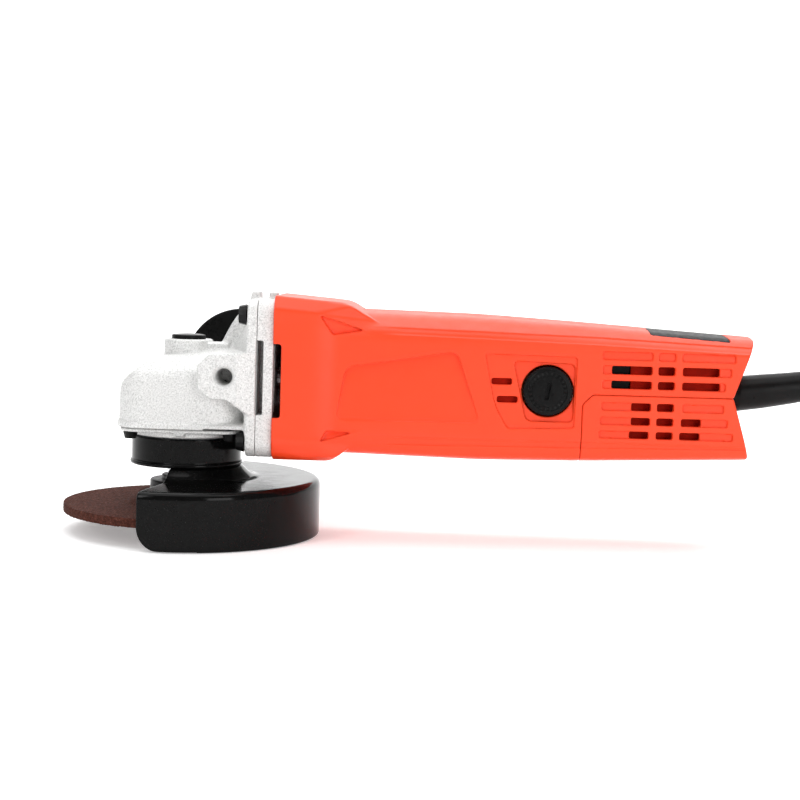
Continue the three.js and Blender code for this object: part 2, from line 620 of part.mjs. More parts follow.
function motorHousing() {
  const whole = join(cut(bodyShell(), coverSpace(GAP / 2)), housingFittings());
  const frontNotch = box([30, 41], [28, 40], [45.1, 74.2]);
  const slideSlot = box([SWITCH.fromX + 2, SWITCH.toX - 4], [24, 40], [SWITCH.lowZ + 3, SWITCH.highZ - 3.4]);
  const capSeat = rod('y', BRUSH.radius + GAP, BRUSH.seat - 0.5, 40, [BRUSH.x, MOTOR_Z], 20);
  const brushHalf = BRUSH.hole + GAP;
  return cut(
    whole, frontNotch, mirrored(frontNotch), slideSlot, capSeat, mirrored(capSeat), leadHole,
    rod('x', 11.5, 159, 170, [0, MOTOR_Z], 16),
    rod('x', 6.2, 150, 170, [0, MOTOR_Z], 12),
    box([BRUSH.x - brushHalf, BRUSH.x + brushHalf], [-40, 40], [MOTOR_Z - brushHalf, MOTOR_Z + brushHalf]),
    ...ventSlots(VENTS.housingRows),
    ...flangeScrewPlaces.map((at) => rod('x', 2.4, 30, 53, at, 6)),
    ...coverScrewPlaces.map((at) => rod('z', 1.9, 50, 72, at, 6)),
    labelForm(-1, LABEL_PLATE.foot + GAP / 2, GAP / 2),
  );
}

function rearCover() {
  const inner = bodyForm(BODY_WALL - 0.5, 3);
  const bosses = coverScrewPlaces.map((at) => (
    rod('z', 4.6, 20, PARTING.z - GAP / 2, at, 8).intersect(inner)
  ));
  const shell = bodyShell().intersect(coverSpace(-GAP / 2));
  return cut(
    join(shell, ...bosses), leadHole,
    rod('x', 14.4, 150, 168, [0, MOTOR_Z], 20),
    ...ventSlots(VENTS.coverRows),
    ...coverScrewPlaces.map((at) => rod('z', 1.9, 20, 60, at, 6)),
    ...coverScrewPlaces.map((at) => rod('z', 3.7, 20, 37, at, 10)),
  );
}

// The rating plate on top of the tail, between two depths below the skin. A margin widens it.
function labelForm(faceDepth, footDepth, margin) {
  const { fromX, toX, half } = LABEL_PLATE;
  const footprint = box([fromX - margin, toX + margin], [-half - margin, half + margin], [60, 100]);
  return cut(bodyForm(faceDepth).intersect(footprint), bodyForm(footDepth));
}

// ---- motor --------------------------------------------------------------------------------

function fan() {
  const plate = turned([
    [5.3, 41.5], [8, 41.5], [8.6, 50], [24.5, 50], [24.5, 51.6], [5.3, 51.6],
  ]);
  const blade = box([11, 23.8], [-0.8, 0.8], [43, 50.2]);
  const blades = Array.from({ length: 9 }, (_, i) => blade.translate([0, 3, 0]).rotate([0, 0, i * 40]));
  return join(plate, ...blades);
}

function statorCore() {
  const body = ring(17.4, 25, ARMATURE.fromX - 1, ARMATURE.toX + 1, 32);
  const slots = [-1, 1].map((s) => {
    const channel = wedge(s * 90 - 34, s * 90 + 34, 60, 60, 130);
    return ring(17, 22.4, 60, 130, 32).intersect(channel);
  });
  return cut(body, ...slots);
}

// One field coil: a loop of wire that fills a stator slot and turns back over the core's ends.
function fieldCoil(side) {
  const arc = ring(17.8, 22, ARMATURE.fromX - 9, ARMATURE.toX + 9, 32)
    .intersect(wedge(side * 90 - 31, side * 90 + 31, 60, 0, 200));
  const window = wedge(side * 90 - 12, side * 90 + 12, 60, ARMATURE.fromX - 4, ARMATURE.toX + 4);
  return cut(arc, window);
}

function armatureShaft() {
  return turned([
    [0, 12.4], [2, 12.4], [2, 28.2], [4.9, 28.2], [4.9, 158.6], [3.3, 158.6], [3.3, 166], [0, 166],
  ], 18);
}

function armatureCore() {
  const body = ring(5.2, ARMATURE.radius, ARMATURE.fromX, ARMATURE.toX, 12);
  const slots = Array.from({ length: 12 }, (_, i) => (
    box([12, 20], [-1.1, 1.1], [ARMATURE.fromX - 1, ARMATURE.toX + 1]).rotate([0, 0, (i + 0.5) * 30])
  ));
  return cut(body, ...slots);
}

const winding = (from, to) => turned([
  [5.3, from], [11, from], [14.2, from + 3], [14.2, to - 3], [11, to], [5.3, to],
], 18);

function commutator() {
  const body = ring(5.3, 11.4, 137, 155, 12);
  const slits = Array.from({ length: 12 }, (_, i) => (
    box([10.4, 14], [-0.22, 0.22], [138, 156]).rotate([0, 0, (i + 0.5) * 30])
  ));
  return cut(join(body, ring(5.3, 12.4, 136, 139, 12)), ...slits);
}

// One side's carbon brush, its holder and the slotted cap that keeps it in. side is -1 or 1.
function brushPart(kind, side) {
  const { radius, hole, seat, face, x } = BRUSH;
  const square = (half, reach) => box([x - half, x + half], reach, [MOTOR_Z - half, MOTOR_Z + half]);
  const carbonHalf = 2.6;
  const shapes = {
    carbon: () => square(carbonHalf, [11.8, 20.5]),
    holder: () => cut(square(hole, [13.4, seat - GAP]), square(carbonHalf + GAP, [10, 30])),
    cap: () => cut(
      rod('y', radius, seat, face, [x, MOTOR_Z], 20, radius - 0.8),
      box([x - 6.4, x + 6.4], [face - 1.2, face + 1], [MOTOR_Z - 0.9, MOTOR_Z + 0.9]),
    ),
  };
  return side > 0 ? shapes[kind]() : mirrored(shapes[kind]());
}

// ---- switch, lead entry and side handle ---------------------------------------------------

function switchKnob() {
  const { fromX, toX, lowZ, highZ, barY, barZ, barTo } = SWITCH;
  const midX = (fromX + toX) / 2;
  const slide = box([fromX, toX], [30.2, 32], [lowZ, highZ]);
  const grip = box([midX - 8, midX + 8], [31.8, 34.6], [lowZ + 1, highZ - 1]);
  const grooves = [-1, 0, 1, 2].map((i) => (
    box([midX - 2.6 + i * 3.4, midX - 1.2 + i * 3.4], [33.6, 36], [60, 90])
  ));
  const stem = box([midX - 4, midX + 2], [barY[0], 31], [71.5, 74]);
  const bar = box([midX - 4, barTo], barY, barZ);
  const hook = box([barTo - 3, barTo], [8.5, barY[1]], barZ);
  return join(cut(join(slide, grip), ...grooves), stem, bar, hook);
}

function powerSwitch() {
  const lever = box([SWITCH.barTo + 0.4, 177], [7.5, 10.5], [70, 73.5]);
  return join(box([176, 200], [-11, 11], [64, 76]), lever);
}

function cordGuard() {
  const rise = (s) => (s > 0 ? 0.105 * s + 0.0009 * s * s : 0);
  const wallX = REAR.apexX;
  const geometry = new THREE.LatheGeometry([
    [0, 203], [4.5, 203], [4.5, 213], [9, 213], [9, 217.6], [6.6, 217.6], [6.6, wallX], [7.3, wallX + 6],
    [7.1, wallX + 14], [6.7, wallX + 23], [6.3, wallX + 32], [5.9, CORD.exitX - 1], [0, CORD.exitX - 1],
  ].map(([r, s]) => new THREE.Vector2(r, s)), 16);
  along('x', geometry.rotateX(Math.PI / 2));
  const at = geometry.getAttribute('position');
  for (let i = 0; i < at.count; i += 1) {
    at.setZ(i, at.getZ(i) + LEAD_Z + rise(at.getX(i) - wallX));
  }
  return solid(geometry);
}

function handleGrip() {
  const body = turned([
    [0, GAP], [11, GAP], [11, 6], [25, 6.6], [25, 9.2], [21, 10], [14.6, 12], [15.2, 22], [17.4, 55],
    [16.4, 85], [15.2, 104], [17, 110], [17, 116], [14, 119], [0, 119],
  ], 18);
  return cut(body, rod('z', PAD.hole, -1, 30, [0, 0], 12));
}

// ---- mains lead ---------------------------------------------------------------------------

const slopeAngle = THREE.MathUtils.degToRad(CORD.slope);
const coilTopZ = FLOOR_Z + COIL.lift + CORD.diameter * (COIL.layers - 0.5);
const outerTurn = COIL.middle + CORD.diameter * (COIL.columns - 1) / 2;
// The lead arches over and down, then flattens out onto the coil's top layer, on two equal bends.
const steepest = Math.acos((Math.cos(slopeAngle) + 1 - (CORD.exitZ - coilTopZ) / CORD.bend) / 2);
const landingX = CORD.exitX + CORD.bend * (Math.sin(slopeAngle) + 2 * Math.sin(steepest));
const ringZ = [FLOOR_Z, FLOOR_Z + COIL.lift + CORD.diameter * COIL.layers + 0.3];

class HangingLead extends THREE.Curve {
  getPoint(t) {
    const first = slopeAngle + steepest;
    const stop = Math.acos(1 - (ringZ[1] + CORD.diameter / 2 + GAP - coilTopZ) / CORD.bend);
    const turn = t * (first + steepest - stop);
    const { bend, exitX, exitZ } = CORD;
    if (turn < first) {
      const angle = slopeAngle - turn;
      return new THREE.Vector3(
        exitX + bend * (Math.sin(slopeAngle) - Math.sin(angle)), 0,
        exitZ + bend * (Math.cos(angle) - Math.cos(slopeAngle)),
      );
    }
    const angle = steepest - (turn - first);
    return new THREE.Vector3(landingX - bend * Math.sin(angle), 0, coilTopZ + bend * (1 - Math.cos(angle)));
  }
}

function powerCord() {
  const section = new THREE.Shape();
  section.absarc(0, 0, CORD.diameter / 2, 0, 2 * Math.PI);
  return solid(new THREE.ExtrudeGeometry(section, {
    steps: 12, curveSegments: 4, bevelEnabled: false, extrudePath: new HangingLead(),
  }));
}

function cordCoil() {
  const half = CORD.diameter * COIL.columns / 2 + 0.3;
  return ring(COIL.middle - half, COIL.middle + half, ...ringZ, 32).translate([landingX, outerTurn, 0]);
}

function mainsPlug() {
  const ringEdge = COIL.middle + CORD.diameter * COIL.columns / 2 + 0.3;
  const x = landingX + outerTurn;
  const startY = outerTurn + Math.sqrt(ringEdge ** 2 - (outerTurn - CORD.diameter / 2) ** 2) + GAP;
  const z = FLOOR_Z + 7.2;
  const relief = rod('y', 4, startY, startY + 16, [x, z - 1], 12, 5.6);
  const body = prism('y', rounded(12.5, 7, 5, x, z), startY + 15.8, startY + 50);
  const nose = prism('y', rounded(8.5, 7, 5, x, z), startY + 49.8, startY + 54);
  const web = box([x - 10.8, x + 10.8], [startY + 49.8, startY + 54], [z - 3, z + 3]);
  const pins = [-1, 1].map((s) => rod('y', 2.2, startY + 53, startY + 72, [x + s * 8.5, z], 10));
  return join(relief, body, nose, web, ...pins);
}

// ---- the assembly -------------------------------------------------------------------------

place(spindleLine, 'grinding_disc', RESIN, grindingDisc());
place(spindleLine, 'inner_flange', BRIGHT_STEEL, innerFlange());
place(spindleLine, 'lock_nut', BRIGHT_STEEL, lockNut());
place(spindleLine, 'spindle', BRIGHT_STEEL, spindle());
place(spindleLine, 'bevel_gear', BLACK_STEEL, bevelGear());
place(spindleLine, 'wheel_guard', BLACK_PAINT, wheelGuard());
place(spindleLine, 'guard_collar', BLACK_PAINT, guardCollar());
place(spindleLine, 'guard_clamp_screw', BRIGHT_STEEL, clampScrew());
place(spindleLine, 'guard_clamp_nut', BRIGHT_STEEL, clampNut());
place(spindleLine, 'bearing_box', CAST_ALUMINIUM, bearingBox());
boxScrewPlaces.forEach((at, i) => {
  const screw = panScrew('z', at, 34, BOX.bottomZ - GAP, 47, 3, 1.7);
  place(spindleLine, `bearing_box_screw_${i + 1}`, BLACK_STEEL, screw);
});
place(spindleLine, 'spindle_bearing', BRIGHT_STEEL, ring(SPINDLE.seat + GAP, 16, 26.5, 36.5));
place(spindleLine, 'dust_ring', BLACK_RUBBER, ring(SPINDLE.neck + GAP, 16, 24.6, 26.2));
place(spindleLine, 'upper_spindle_bush', BRASS, ring(SPINDLE.tail + GAP, 6.6, 58.2, 65, 18));
place(spindleLine, 'lock_button', BLACK_PLASTIC, lockButton());
place(spindleLine, 'lock_spring', BRIGHT_STEEL, lockSpring());

place(model, 'gear_housing', CAST_ALUMINIUM, gearHousing());
place(model, 'gear_housing_cover', CAST_ALUMINIUM, gearHousingCover());
flangeScrewPlaces.forEach((at, i) => {
  const screw = panScrew('x', at, 23.2, FLANGE.frontX - GAP, 52, 4.2, 2);
  place(model, `flange_screw_${i + 1}`, BLACK_STEEL, screw);
});

place(motorLine, 'pinion', BLACK_STEEL, pinion());
place(motorLine, 'armature_shaft', BRIGHT_STEEL, armatureShaft());
place(motorLine, 'front_bearing', BRIGHT_STEEL, ring(5.2, 13, 28.6, 36.1));
place(motorLine, 'fan', BLACK_PLASTIC, fan());
place(motorLine, 'fan_baffle', WHITE_PLASTIC, ring(19, 25.6, 54, 56));
place(motorLine, 'stator_core', SILICON_STEEL, statorCore());
place(motorLine, 'field_coil_left', COPPER, fieldCoil(-1));
place(motorLine, 'field_coil_right', COPPER, fieldCoil(1));
place(motorLine, 'armature_core', SILICON_STEEL, armatureCore());
place(motorLine, 'armature_winding_front', COPPER, winding(60, ARMATURE.fromX - GAP));
place(motorLine, 'armature_winding_rear', COPPER, winding(ARMATURE.toX + GAP, 131));
place(motorLine, 'commutator', COPPER, commutator());
place(motorLine, 'rear_bearing', BRIGHT_STEEL, ring(3.6, 9.3, 159.4, 165.6, 20));
place(motorLine, 'rear_bearing_sleeve', BLACK_RUBBER, ring(9.6, 11, 159.3, 166, 20));

[['left', 1], ['right', -1]].forEach(([name, side]) => {
  place(model, `brush_holder_${name}`, BRASS, brushPart('holder', side));
  place(model, `carbon_brush_${name}`, CARBON, brushPart('carbon', side));
  place(model, `brush_cap_${name}`, BLACK_PLASTIC, brushPart('cap', side));
});

place(model, 'motor_housing', RED_PLASTIC, motorHousing());
place(model, 'rear_cover', RED_PLASTIC, rearCover());
coverScrewPlaces.forEach((at, i) => {
  place(model, `rear_cover_screw_${i + 1}`, BLACK_STEEL, panScrew('z', at, 33.6, 36.7, 71, 3.2, 1.5));
});
place(model, 'rating_label', LABEL, labelForm(LABEL_PLATE.sunk, LABEL_PLATE.foot, 0));
place(model, 'power_switch', BLACK_PLASTIC, powerSwitch());
place(model, 'switch_knob', BLACK_PLASTIC, switchKnob());
place(model, 'capacitor', WHITE_PLASTIC, box([178, 200], [-8, 8], [39, 50]));
place(model, 'cord_clamp', WHITE_PLASTIC, box([204, 210], [-13, 13], [62.4, 66]));
place(model, 'cord_guard', BLACK_RUBBER, cordGuard());

place(handleLine, 'handle_grip', BLACK_PLASTIC, handleGrip());
place(handleLine, 'handle_stud', BRIGHT_STEEL, rod('z', 3.3, -12, 28, [0, 0], 12));

place(model, 'power_cord', BLACK_RUBBER, powerCord());
place(model, 'cord_coil', BLACK_RUBBER, cordCoil());
place(model, 'mains_plug', BLACK_RUBBER, mainsPlug());

export default model;
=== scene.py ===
"""Angle grinder: the looks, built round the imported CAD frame. Blender works in metres; the forms below are
distance fields in millimetres, negative inside, in the same frame, and each is turned into a mesh."""
import math

import bpy
import numpy as np
from mathutils import Matrix, Vector


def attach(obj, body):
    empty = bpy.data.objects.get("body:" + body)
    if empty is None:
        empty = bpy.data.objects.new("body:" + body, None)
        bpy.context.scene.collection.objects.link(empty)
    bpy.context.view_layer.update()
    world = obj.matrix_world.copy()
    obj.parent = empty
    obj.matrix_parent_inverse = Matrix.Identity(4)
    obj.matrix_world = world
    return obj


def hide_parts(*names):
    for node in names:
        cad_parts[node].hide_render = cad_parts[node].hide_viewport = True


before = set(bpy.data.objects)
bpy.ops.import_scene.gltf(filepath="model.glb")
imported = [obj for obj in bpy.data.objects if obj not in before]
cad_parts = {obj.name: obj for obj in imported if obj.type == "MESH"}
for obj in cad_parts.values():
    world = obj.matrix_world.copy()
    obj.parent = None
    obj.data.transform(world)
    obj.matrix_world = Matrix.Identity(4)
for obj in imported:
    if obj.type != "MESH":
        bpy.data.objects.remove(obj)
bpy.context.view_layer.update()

MM = 0.001
FLOOR_Z = -5.8
MOTOR_Z = 58.6
COARSE = 1.0

# ---- camera ------------------------------------------------------------------------------------------


def make_camera():
    """A long lens a little above the tool, looking slightly down and turned about its own line of sight."""
    yaw, pitch, roll = (math.radians(a) for a in (0.19, 4.92, 1.78))
    ahead = Vector((-math.sin(yaw) * math.cos(pitch), math.cos(yaw) * math.cos(pitch), -math.sin(pitch)))
    right = Vector((math.cos(yaw), math.sin(yaw), 0))
    up = right.cross(ahead)
    tilted_right = right * math.cos(roll) + up * math.sin(roll)
    tilted_up = up * math.cos(roll) - right * math.sin(roll)
    data = bpy.data.cameras.new("camera")
    data.lens, data.sensor_width = 70.97, 36
    data.clip_start, data.clip_end = 0.01, 20
    camera = bpy.data.objects.new("camera", data)
    turn = Matrix((tilted_right, tilted_up, -ahead)).transposed().to_4x4()
    camera.matrix_world = Matrix.Translation((0.090, -0.650, 0.1069)) @ turn
    bpy.context.collection.objects.link(camera)
    bpy.context.scene.camera = camera


make_camera()

# ---- materials ---------------------------------------------------------------------------------------


def shades(color, spread):
    """A little darker and a little lighter than a colour."""
    return tuple(c * (1 - spread) for c in color), tuple(min(1, c * (1 + spread)) for c in color)


class Finish:
    """A Principled material with its procedural nodes. Coordinates are the object's own, in metres."""

    def __init__(self, name, color, roughness, metallic=0.0, **sockets):
        self.material = bpy.data.materials.new(name)
        self.material.use_nodes = True
        self.nodes = self.material.node_tree.nodes
        self.links = self.material.node_tree.links
        self.shader = self.nodes["Principled BSDF"]
        self.place = self.nodes.new("ShaderNodeTexCoord").outputs["Object"]
        self.color = color
        self.shader.inputs["Base Color"].default_value = (*color, 1)
        self.shader.inputs["Roughness"].default_value = roughness
        self.shader.inputs["Metallic"].default_value = metallic
        for socket, value in sockets.items():
            self.shader.inputs[socket.replace("_", " ")].default_value = value
        self.bumped = None

    def node(self, kind, inputs=(), **settings):
        made = self.nodes.new(kind)
        for key, value in settings.items():
            setattr(made, key, value)
        for key, value in dict(inputs).items():
            if isinstance(value, bpy.types.NodeSocket):
                self.links.new(value, made.inputs[key])
            else:
                made.inputs[key].default_value = value
        return made

    def noise(self, grain_mm, detail=3.0, stretch=(1, 1, 1), roughness=0.55):
        """Noise whose grains are about that many millimetres across."""
        place = self.place
        if stretch != (1, 1, 1):
            place = self.node("ShaderNodeMapping", {"Vector": place, "Scale": stretch}).outputs["Vector"]
        made = self.node("ShaderNodeTexNoise", {
            "Vector": place, "Scale": 1000 / grain_mm, "Detail": detail, "Roughness": roughness,
        })
        return made.outputs["Fac"]

    def cells(self, grain_mm):
        """Distance to the nearest of scattered points, that many millimetres apart."""
        made = self.node("ShaderNodeTexVoronoi", {"Vector": self.place, "Scale": 1000 / grain_mm})
        return made.outputs["Distance"]

    def spread(self, value, low, high, to_low=0.0, to_high=1.0):
        made = self.node("ShaderNodeMapRange", {
            "Value": value, "From Min": low, "From Max": high, "To Min": to_low, "To Max": to_high,
        })
        return made.outputs["Result"]

    def tint(self, value, *stops):
        """Base colour from a ramp of (position, colour) stops."""
        ramp = self.node("ShaderNodeValToRGB", {"Fac": value})
        while len(ramp.color_ramp.elements) < len(stops):
            ramp.color_ramp.elements.new(0.5)
        for element, (position, color) in zip(ramp.color_ramp.elements, stops):
            element.position, element.color = position, (*color, 1)
        self.links.new(ramp.outputs["Color"], self.shader.inputs["Base Color"])
        return self

    def speckle(self, value, spread, color=None):
        """Base colour that varies a little about a colour, the finish's own where none is given."""
        dark, light = shades(color or self.color, spread)
        return self.tint(value, (0.3, dark), (0.7, light))

    def rough(self, value, low, high):
        self.links.new(self.spread(value, 0.3, 0.7, low, high), self.shader.inputs["Roughness"])
        return self

    def bump(self, value, depth_mm, strength=1.0):
        inputs = {"Height": value, "Distance": depth_mm * MM, "Strength": strength}
        if self.bumped:
            inputs["Normal"] = self.bumped
        self.bumped = self.node("ShaderNodeBump", inputs).outputs["Normal"]
        self.links.new(self.bumped, self.shader.inputs["Normal"])
        return self


def make_finishes():
    out = {}

    red = Finish("red_plastic", (0.88, 0.058, 0.013), 0.45, Specular_IOR_Level=0.32)
    red.speckle(red.noise(14, 4), 0.03)
    red.rough(red.noise(5, 4), 0.36, 0.46).bump(red.noise(0.55, 2), 0.012).bump(red.noise(9, 2), 0.02)
    out["red"] = red

    # A darker, duller copy of the red plastic for the walls seen through the slots: painted shade.
    inner = Finish("red_plastic_painted_shade", (0.42, 0.012, 0.003), 0.6, Specular_IOR_Level=0.05)
    inner.speckle(inner.noise(6, 4), 0.15)
    inner.rough(inner.noise(5, 4), 0.5, 0.65).bump(inner.noise(0.55, 2), 0.012)
    out["inner"] = inner

    cast = Finish("cast_aluminium", (0.7, 0.7, 0.69), 0.5, 0.25)
    cast.tint(cast.noise(0.65, 6, roughness=0.85), (0.3, (0.2, 0.2, 0.195)), (0.44, (0.6, 0.6, 0.59)),
              (0.54, (0.76, 0.76, 0.75)), (0.7, (0.95, 0.95, 0.94)))
    cast.rough(cast.noise(2.2, 5), 0.38, 0.62)
    cast.bump(cast.noise(3.5, 3), 0.22).bump(cast.noise(0.75, 4, roughness=0.7), 0.16)
    out["cast"] = cast

    gloss = Finish("black_paint", (0.003, 0.003, 0.003), 0.12, Specular_IOR_Level=0.1)
    gloss.speckle(gloss.noise(2), 0.3)
    gloss.rough(gloss.noise(6, 4), 0.09, 0.16).bump(gloss.noise(2.4, 3), 0.012)
    out["gloss"] = gloss

    black = Finish("black_plastic", (0.005, 0.005, 0.005), 0.3, Specular_IOR_Level=0.1)
    black.speckle(black.noise(3), 0.25)
    black.rough(black.noise(4, 4), 0.22, 0.4).bump(black.noise(0.45, 2), 0.012)
    out["black"] = black

    rubber = Finish("black_rubber", (0.005, 0.005, 0.005), 0.35, Specular_IOR_Level=0.12)
    rubber.speckle(rubber.noise(6, 5), 0.3)
    rubber.rough(rubber.noise(3, 4), 0.26, 0.42).bump(rubber.noise(0.4, 3), 0.02)
    out["rubber"] = rubber

    steel = Finish("bright_steel", (0.62, 0.63, 0.64), 0.28, 1.0)
    steel.speckle(steel.noise(0.5, 4, (1, 1, 6)), 0.12, (0.60, 0.61, 0.62))
    steel.rough(steel.noise(2, 4, (1, 1, 8)), 0.2, 0.38).bump(steel.noise(0.35, 3, (1, 1, 10)), 0.006)
    out["steel"] = steel

    # Black steel kept very dark so that the screw heads under the gear head come out black: black oxide and
    # painted shade together.
    dark = Finish("black_steel", (0.008, 0.008, 0.008), 0.4, 0.3, Specular_IOR_Level=0.2)
    dark.speckle(dark.noise(1.5, 4), 0.35)
    dark.rough(dark.noise(1, 4), 0.28, 0.5).bump(dark.noise(0.4, 3), 0.012)
    out["dark"] = dark

    sheets = Finish("silicon_steel", (0.17, 0.17, 0.175), 0.5, 0.85)
    sheets.speckle(sheets.noise(0.5, 2, (1, 0.04, 0.04)), 0.4)
    sheets.bump(sheets.noise(0.5, 2, (1, 0.04, 0.04)), 0.05)
    out["sheets"] = sheets

    copper = Finish("copper", (0.55, 0.2, 0.09), 0.33, 1.0)
    copper.speckle(copper.noise(0.7, 2, (1, 0.1, 0.1)), 0.35, (0.5, 0.18, 0.08))
    copper.bump(copper.noise(0.7, 2, (1, 0.1, 0.1)), 0.12)
    out["copper"] = copper

    brass = Finish("brass", (0.6, 0.4, 0.13), 0.32, 1.0)
    brass.speckle(brass.noise(1.5, 4), 0.14)
    brass.rough(brass.noise(1, 4), 0.22, 0.42).bump(brass.noise(0.5, 3), 0.006)
    out["brass"] = brass

    carbon = Finish("carbon", (0.03, 0.03, 0.032), 0.75, 0.1)
    carbon.speckle(carbon.noise(0.4, 4), 0.5)
    carbon.bump(carbon.noise(0.3, 4), 0.03)
    out["carbon"] = carbon

    out["resin"] = abrasive()

    white = Finish("white_plastic", (0.62, 0.6, 0.55), 0.45)
    white.speckle(white.noise(4, 4), 0.06)
    white.rough(white.noise(3, 4), 0.35, 0.55).bump(white.noise(0.5, 2), 0.012)
    out["white"] = white

    label = Finish("dark_label", (0.012, 0.012, 0.013), 0.5, Specular_IOR_Level=0.08)
    label.speckle(label.noise(5, 4), 0.2)
    label.rough(label.noise(2, 4), 0.34, 0.5).bump(label.noise(0.8, 2), 0.01)
    out["label"] = label
    return out


def abrasive():
    """Brown bonded grit: dark and reddish grains, a few pale ones, and a woven glass mesh showing through."""
    grit = Finish("abrasive_resin", (0.09, 0.03, 0.02), 0.85, Specular_IOR_Level=0.12)
    grit.tint(
        grit.noise(0.9, 6, roughness=0.8),
        (0.28, (0.014, 0.005, 0.003)), (0.46, (0.055, 0.017, 0.011)),
        (0.58, (0.1, 0.031, 0.021)), (0.76, (0.26, 0.13, 0.1)),
    )
    grit.rough(grit.noise(1.2, 4), 0.7, 0.95)
    along, across = (
        grit.node("ShaderNodeTexWave", {"Vector": grit.place, "Scale": 62.0, "Distortion": 0.4},
                  bands_direction=way).outputs["Fac"]
        for way in "XY"
    )
    weave = grit.node("ShaderNodeMath", {0: along, 1: across}, operation="MAXIMUM").outputs["Value"]
    grit.bump(grit.spread(weave, 0.75, 1.0), 0.12, 0.6)
    return grit.bump(grit.cells(0.8), 0.35).bump(grit.noise(0.5, 4, roughness=0.7), 0.2)


FINISH = make_finishes()

# ---- free cord ---------------------------------------------------------------------------------------

# slope: degrees downwards in the guard's mouth, bend: radius of the arch and of the landing
CORD = {"diameter": 7, "exit": (262.3, 0, 63.3), "slope": 10, "bend": 38, "length_m": 1.55}
COIL = {"middle": 42, "pitch": 7, "top": FLOOR_Z + 0.7 + 10.5, "bottom": FLOOR_Z + 0.7 + 3.5}
GUARD_FOOT = 222.0  # where the tapered cord guard leaves the tail


def guard_line(x):
    """Height of the cord guard's centreline."""
    s = np.maximum(x - GUARD_FOOT, 0)
    return 57.5 + 0.105 * s + 0.0009 * s * s


slope = math.radians(CORD["slope"])
steepest = math.acos((math.cos(slope) + 1 - (CORD["exit"][2] - COIL["top"]) / CORD["bend"]) / 2)
LANDING_X = CORD["exit"][0] + CORD["bend"] * (math.sin(slope) + 2 * math.sin(steepest))
COIL_Y = COIL["middle"] + COIL["pitch"]  # the coil's centre; its outermost turn touches the landing
TAIL_X = LANDING_X + COIL_Y


def ease(t):
    t = min(max(t, 0.0), 1.0)
    return t * t * (3 - 2 * t)


def coil_point(turned):
    """A point of the wound lead after that many degrees: inwards on top, a drop, then outwards below."""
    radius, height = COIL_Y, COIL["top"]
    for start in (265, 625):
        radius -= COIL["pitch"] * ease((turned - start) / 80)
    for start in (1180, 1540):
        radius += COIL["pitch"] * ease((turned - start) / 80)
    height += (COIL["bottom"] - COIL["top"]) * ease((turned - 900) / 80)
    angle = math.radians(turned - 90)
    return LANDING_X + radius * math.cos(angle), COIL_Y + radius * math.sin(angle), height


def cord_route():
    exit_x, _, exit_z = CORD["exit"]
    bend = CORD["bend"]
    points = [(x, 0, float(guard_line(x))) for x in (250, 254, 258)]
    arch = 24
    for i in range(arch + 1):
        angle = slope - (slope + steepest) * i / arch
        points.append((exit_x + bend * (math.sin(slope) - math.sin(angle)), 0,
                       exit_z + bend * (math.cos(angle) - math.cos(slope))))
    for i in range(1, arch):
        angle = steepest * (1 - i / arch)
        points.append((LANDING_X - bend * math.sin(angle), 0, COIL["top"] + bend * (1 - math.cos(angle))))
    points += [coil_point(turned) for turned in range(0, 1891, 9)]
    last = points[-1]
    for i in range(1, 9):
        t = i / 8
        points.append((last[0], last[1] + 31 * t, COIL["bottom"] + 2.0 * ease(t)))
    return points


def finish_piece(obj, finish, body, slot, *nodes):
    obj.data.materials.append(FINISH[finish].material)
    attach(obj, body)
    if nodes:
        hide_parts(*nodes)
    return obj


def make_cord():
    route = cord_route()
    data = bpy.data.curves.new("mains_lead", "CURVE")
    data.dimensions = "3D"
    data.bevel_depth = CORD["diameter"] / 2 * MM
    data.bevel_resolution = 5
    data.use_fill_caps = True
    line = data.splines.new("POLY")
    line.points.add(len(route) - 1)
    for point, at in zip(line.points, route):
        point.co = (at[0] * MM, at[1] * MM, at[2] * MM, 1)
    line.use_smooth = True
    lead = bpy.data.objects.new("mains_lead", data)
    bpy.context.collection.objects.link(lead)
    return finish_piece(lead, "rubber", "housing", "black_rubber", "power_cord", "cord_coil")


lead = make_cord()

# ---- distance fields ---------------------------------------------------------------------------------


def smax(a, b, r):
    h = np.maximum(r - np.abs(a - b), 0) / r
    return np.maximum(a, b) + h * h * (0.25 * r)


def smin(a, b, r):
    return -smax(-a, -b, r)


def meet(r, *fields):
    """What lies in every field, with edges rounded."""
    out = fields[0]
    for field in fields[1:]:
        out = smax(out, field, r)
    return out


def merge(r, *fields):
    """What lies in any field, with the inner corners filled."""
    out = fields[0]
    for field in fields[1:]:
        out = smin(out, field, r)
    return out


def carve(d, tool, r=0.5):
    return smax(d, -tool, r)


def slab(v, low, high):
    return np.maximum(low - v, v - high)


def disc2(u, v, radius, centre=(0, 0)):
    return np.hypot(u - centre[0], v - centre[1]) - radius


def rect2(u, v, reach_u, reach_v, r):
    (u0, u1), (v0, v1) = reach_u, reach_v
    du = np.abs(u - (u0 + u1) / 2) - (u1 - u0) / 2 + r
    dv = np.abs(v - (v0 + v1) / 2) - (v1 - v0) / 2 + r
    return np.hypot(np.maximum(du, 0), np.maximum(dv, 0)) + np.minimum(np.maximum(du, dv), 0) - r


def outline2(u, v, points, r):
    """A convex outline whose corners run clockwise when u is to the right and v is up."""
    out = None
    for (u0, v0), (u1, v1) in zip(points, [*points[1:], points[0]]):
        long = math.hypot(u1 - u0, v1 - v0)
        edge = ((v - v0) * (u1 - u0) - (u - u0) * (v1 - v0)) / long
        out = edge if out is None else smax(out, edge, r)
    return out


def rod(u, v, w, radius, reach, centre=(0, 0), r=0.5):
    return smax(disc2(u, v, radius, centre), slab(w, *reach), r)


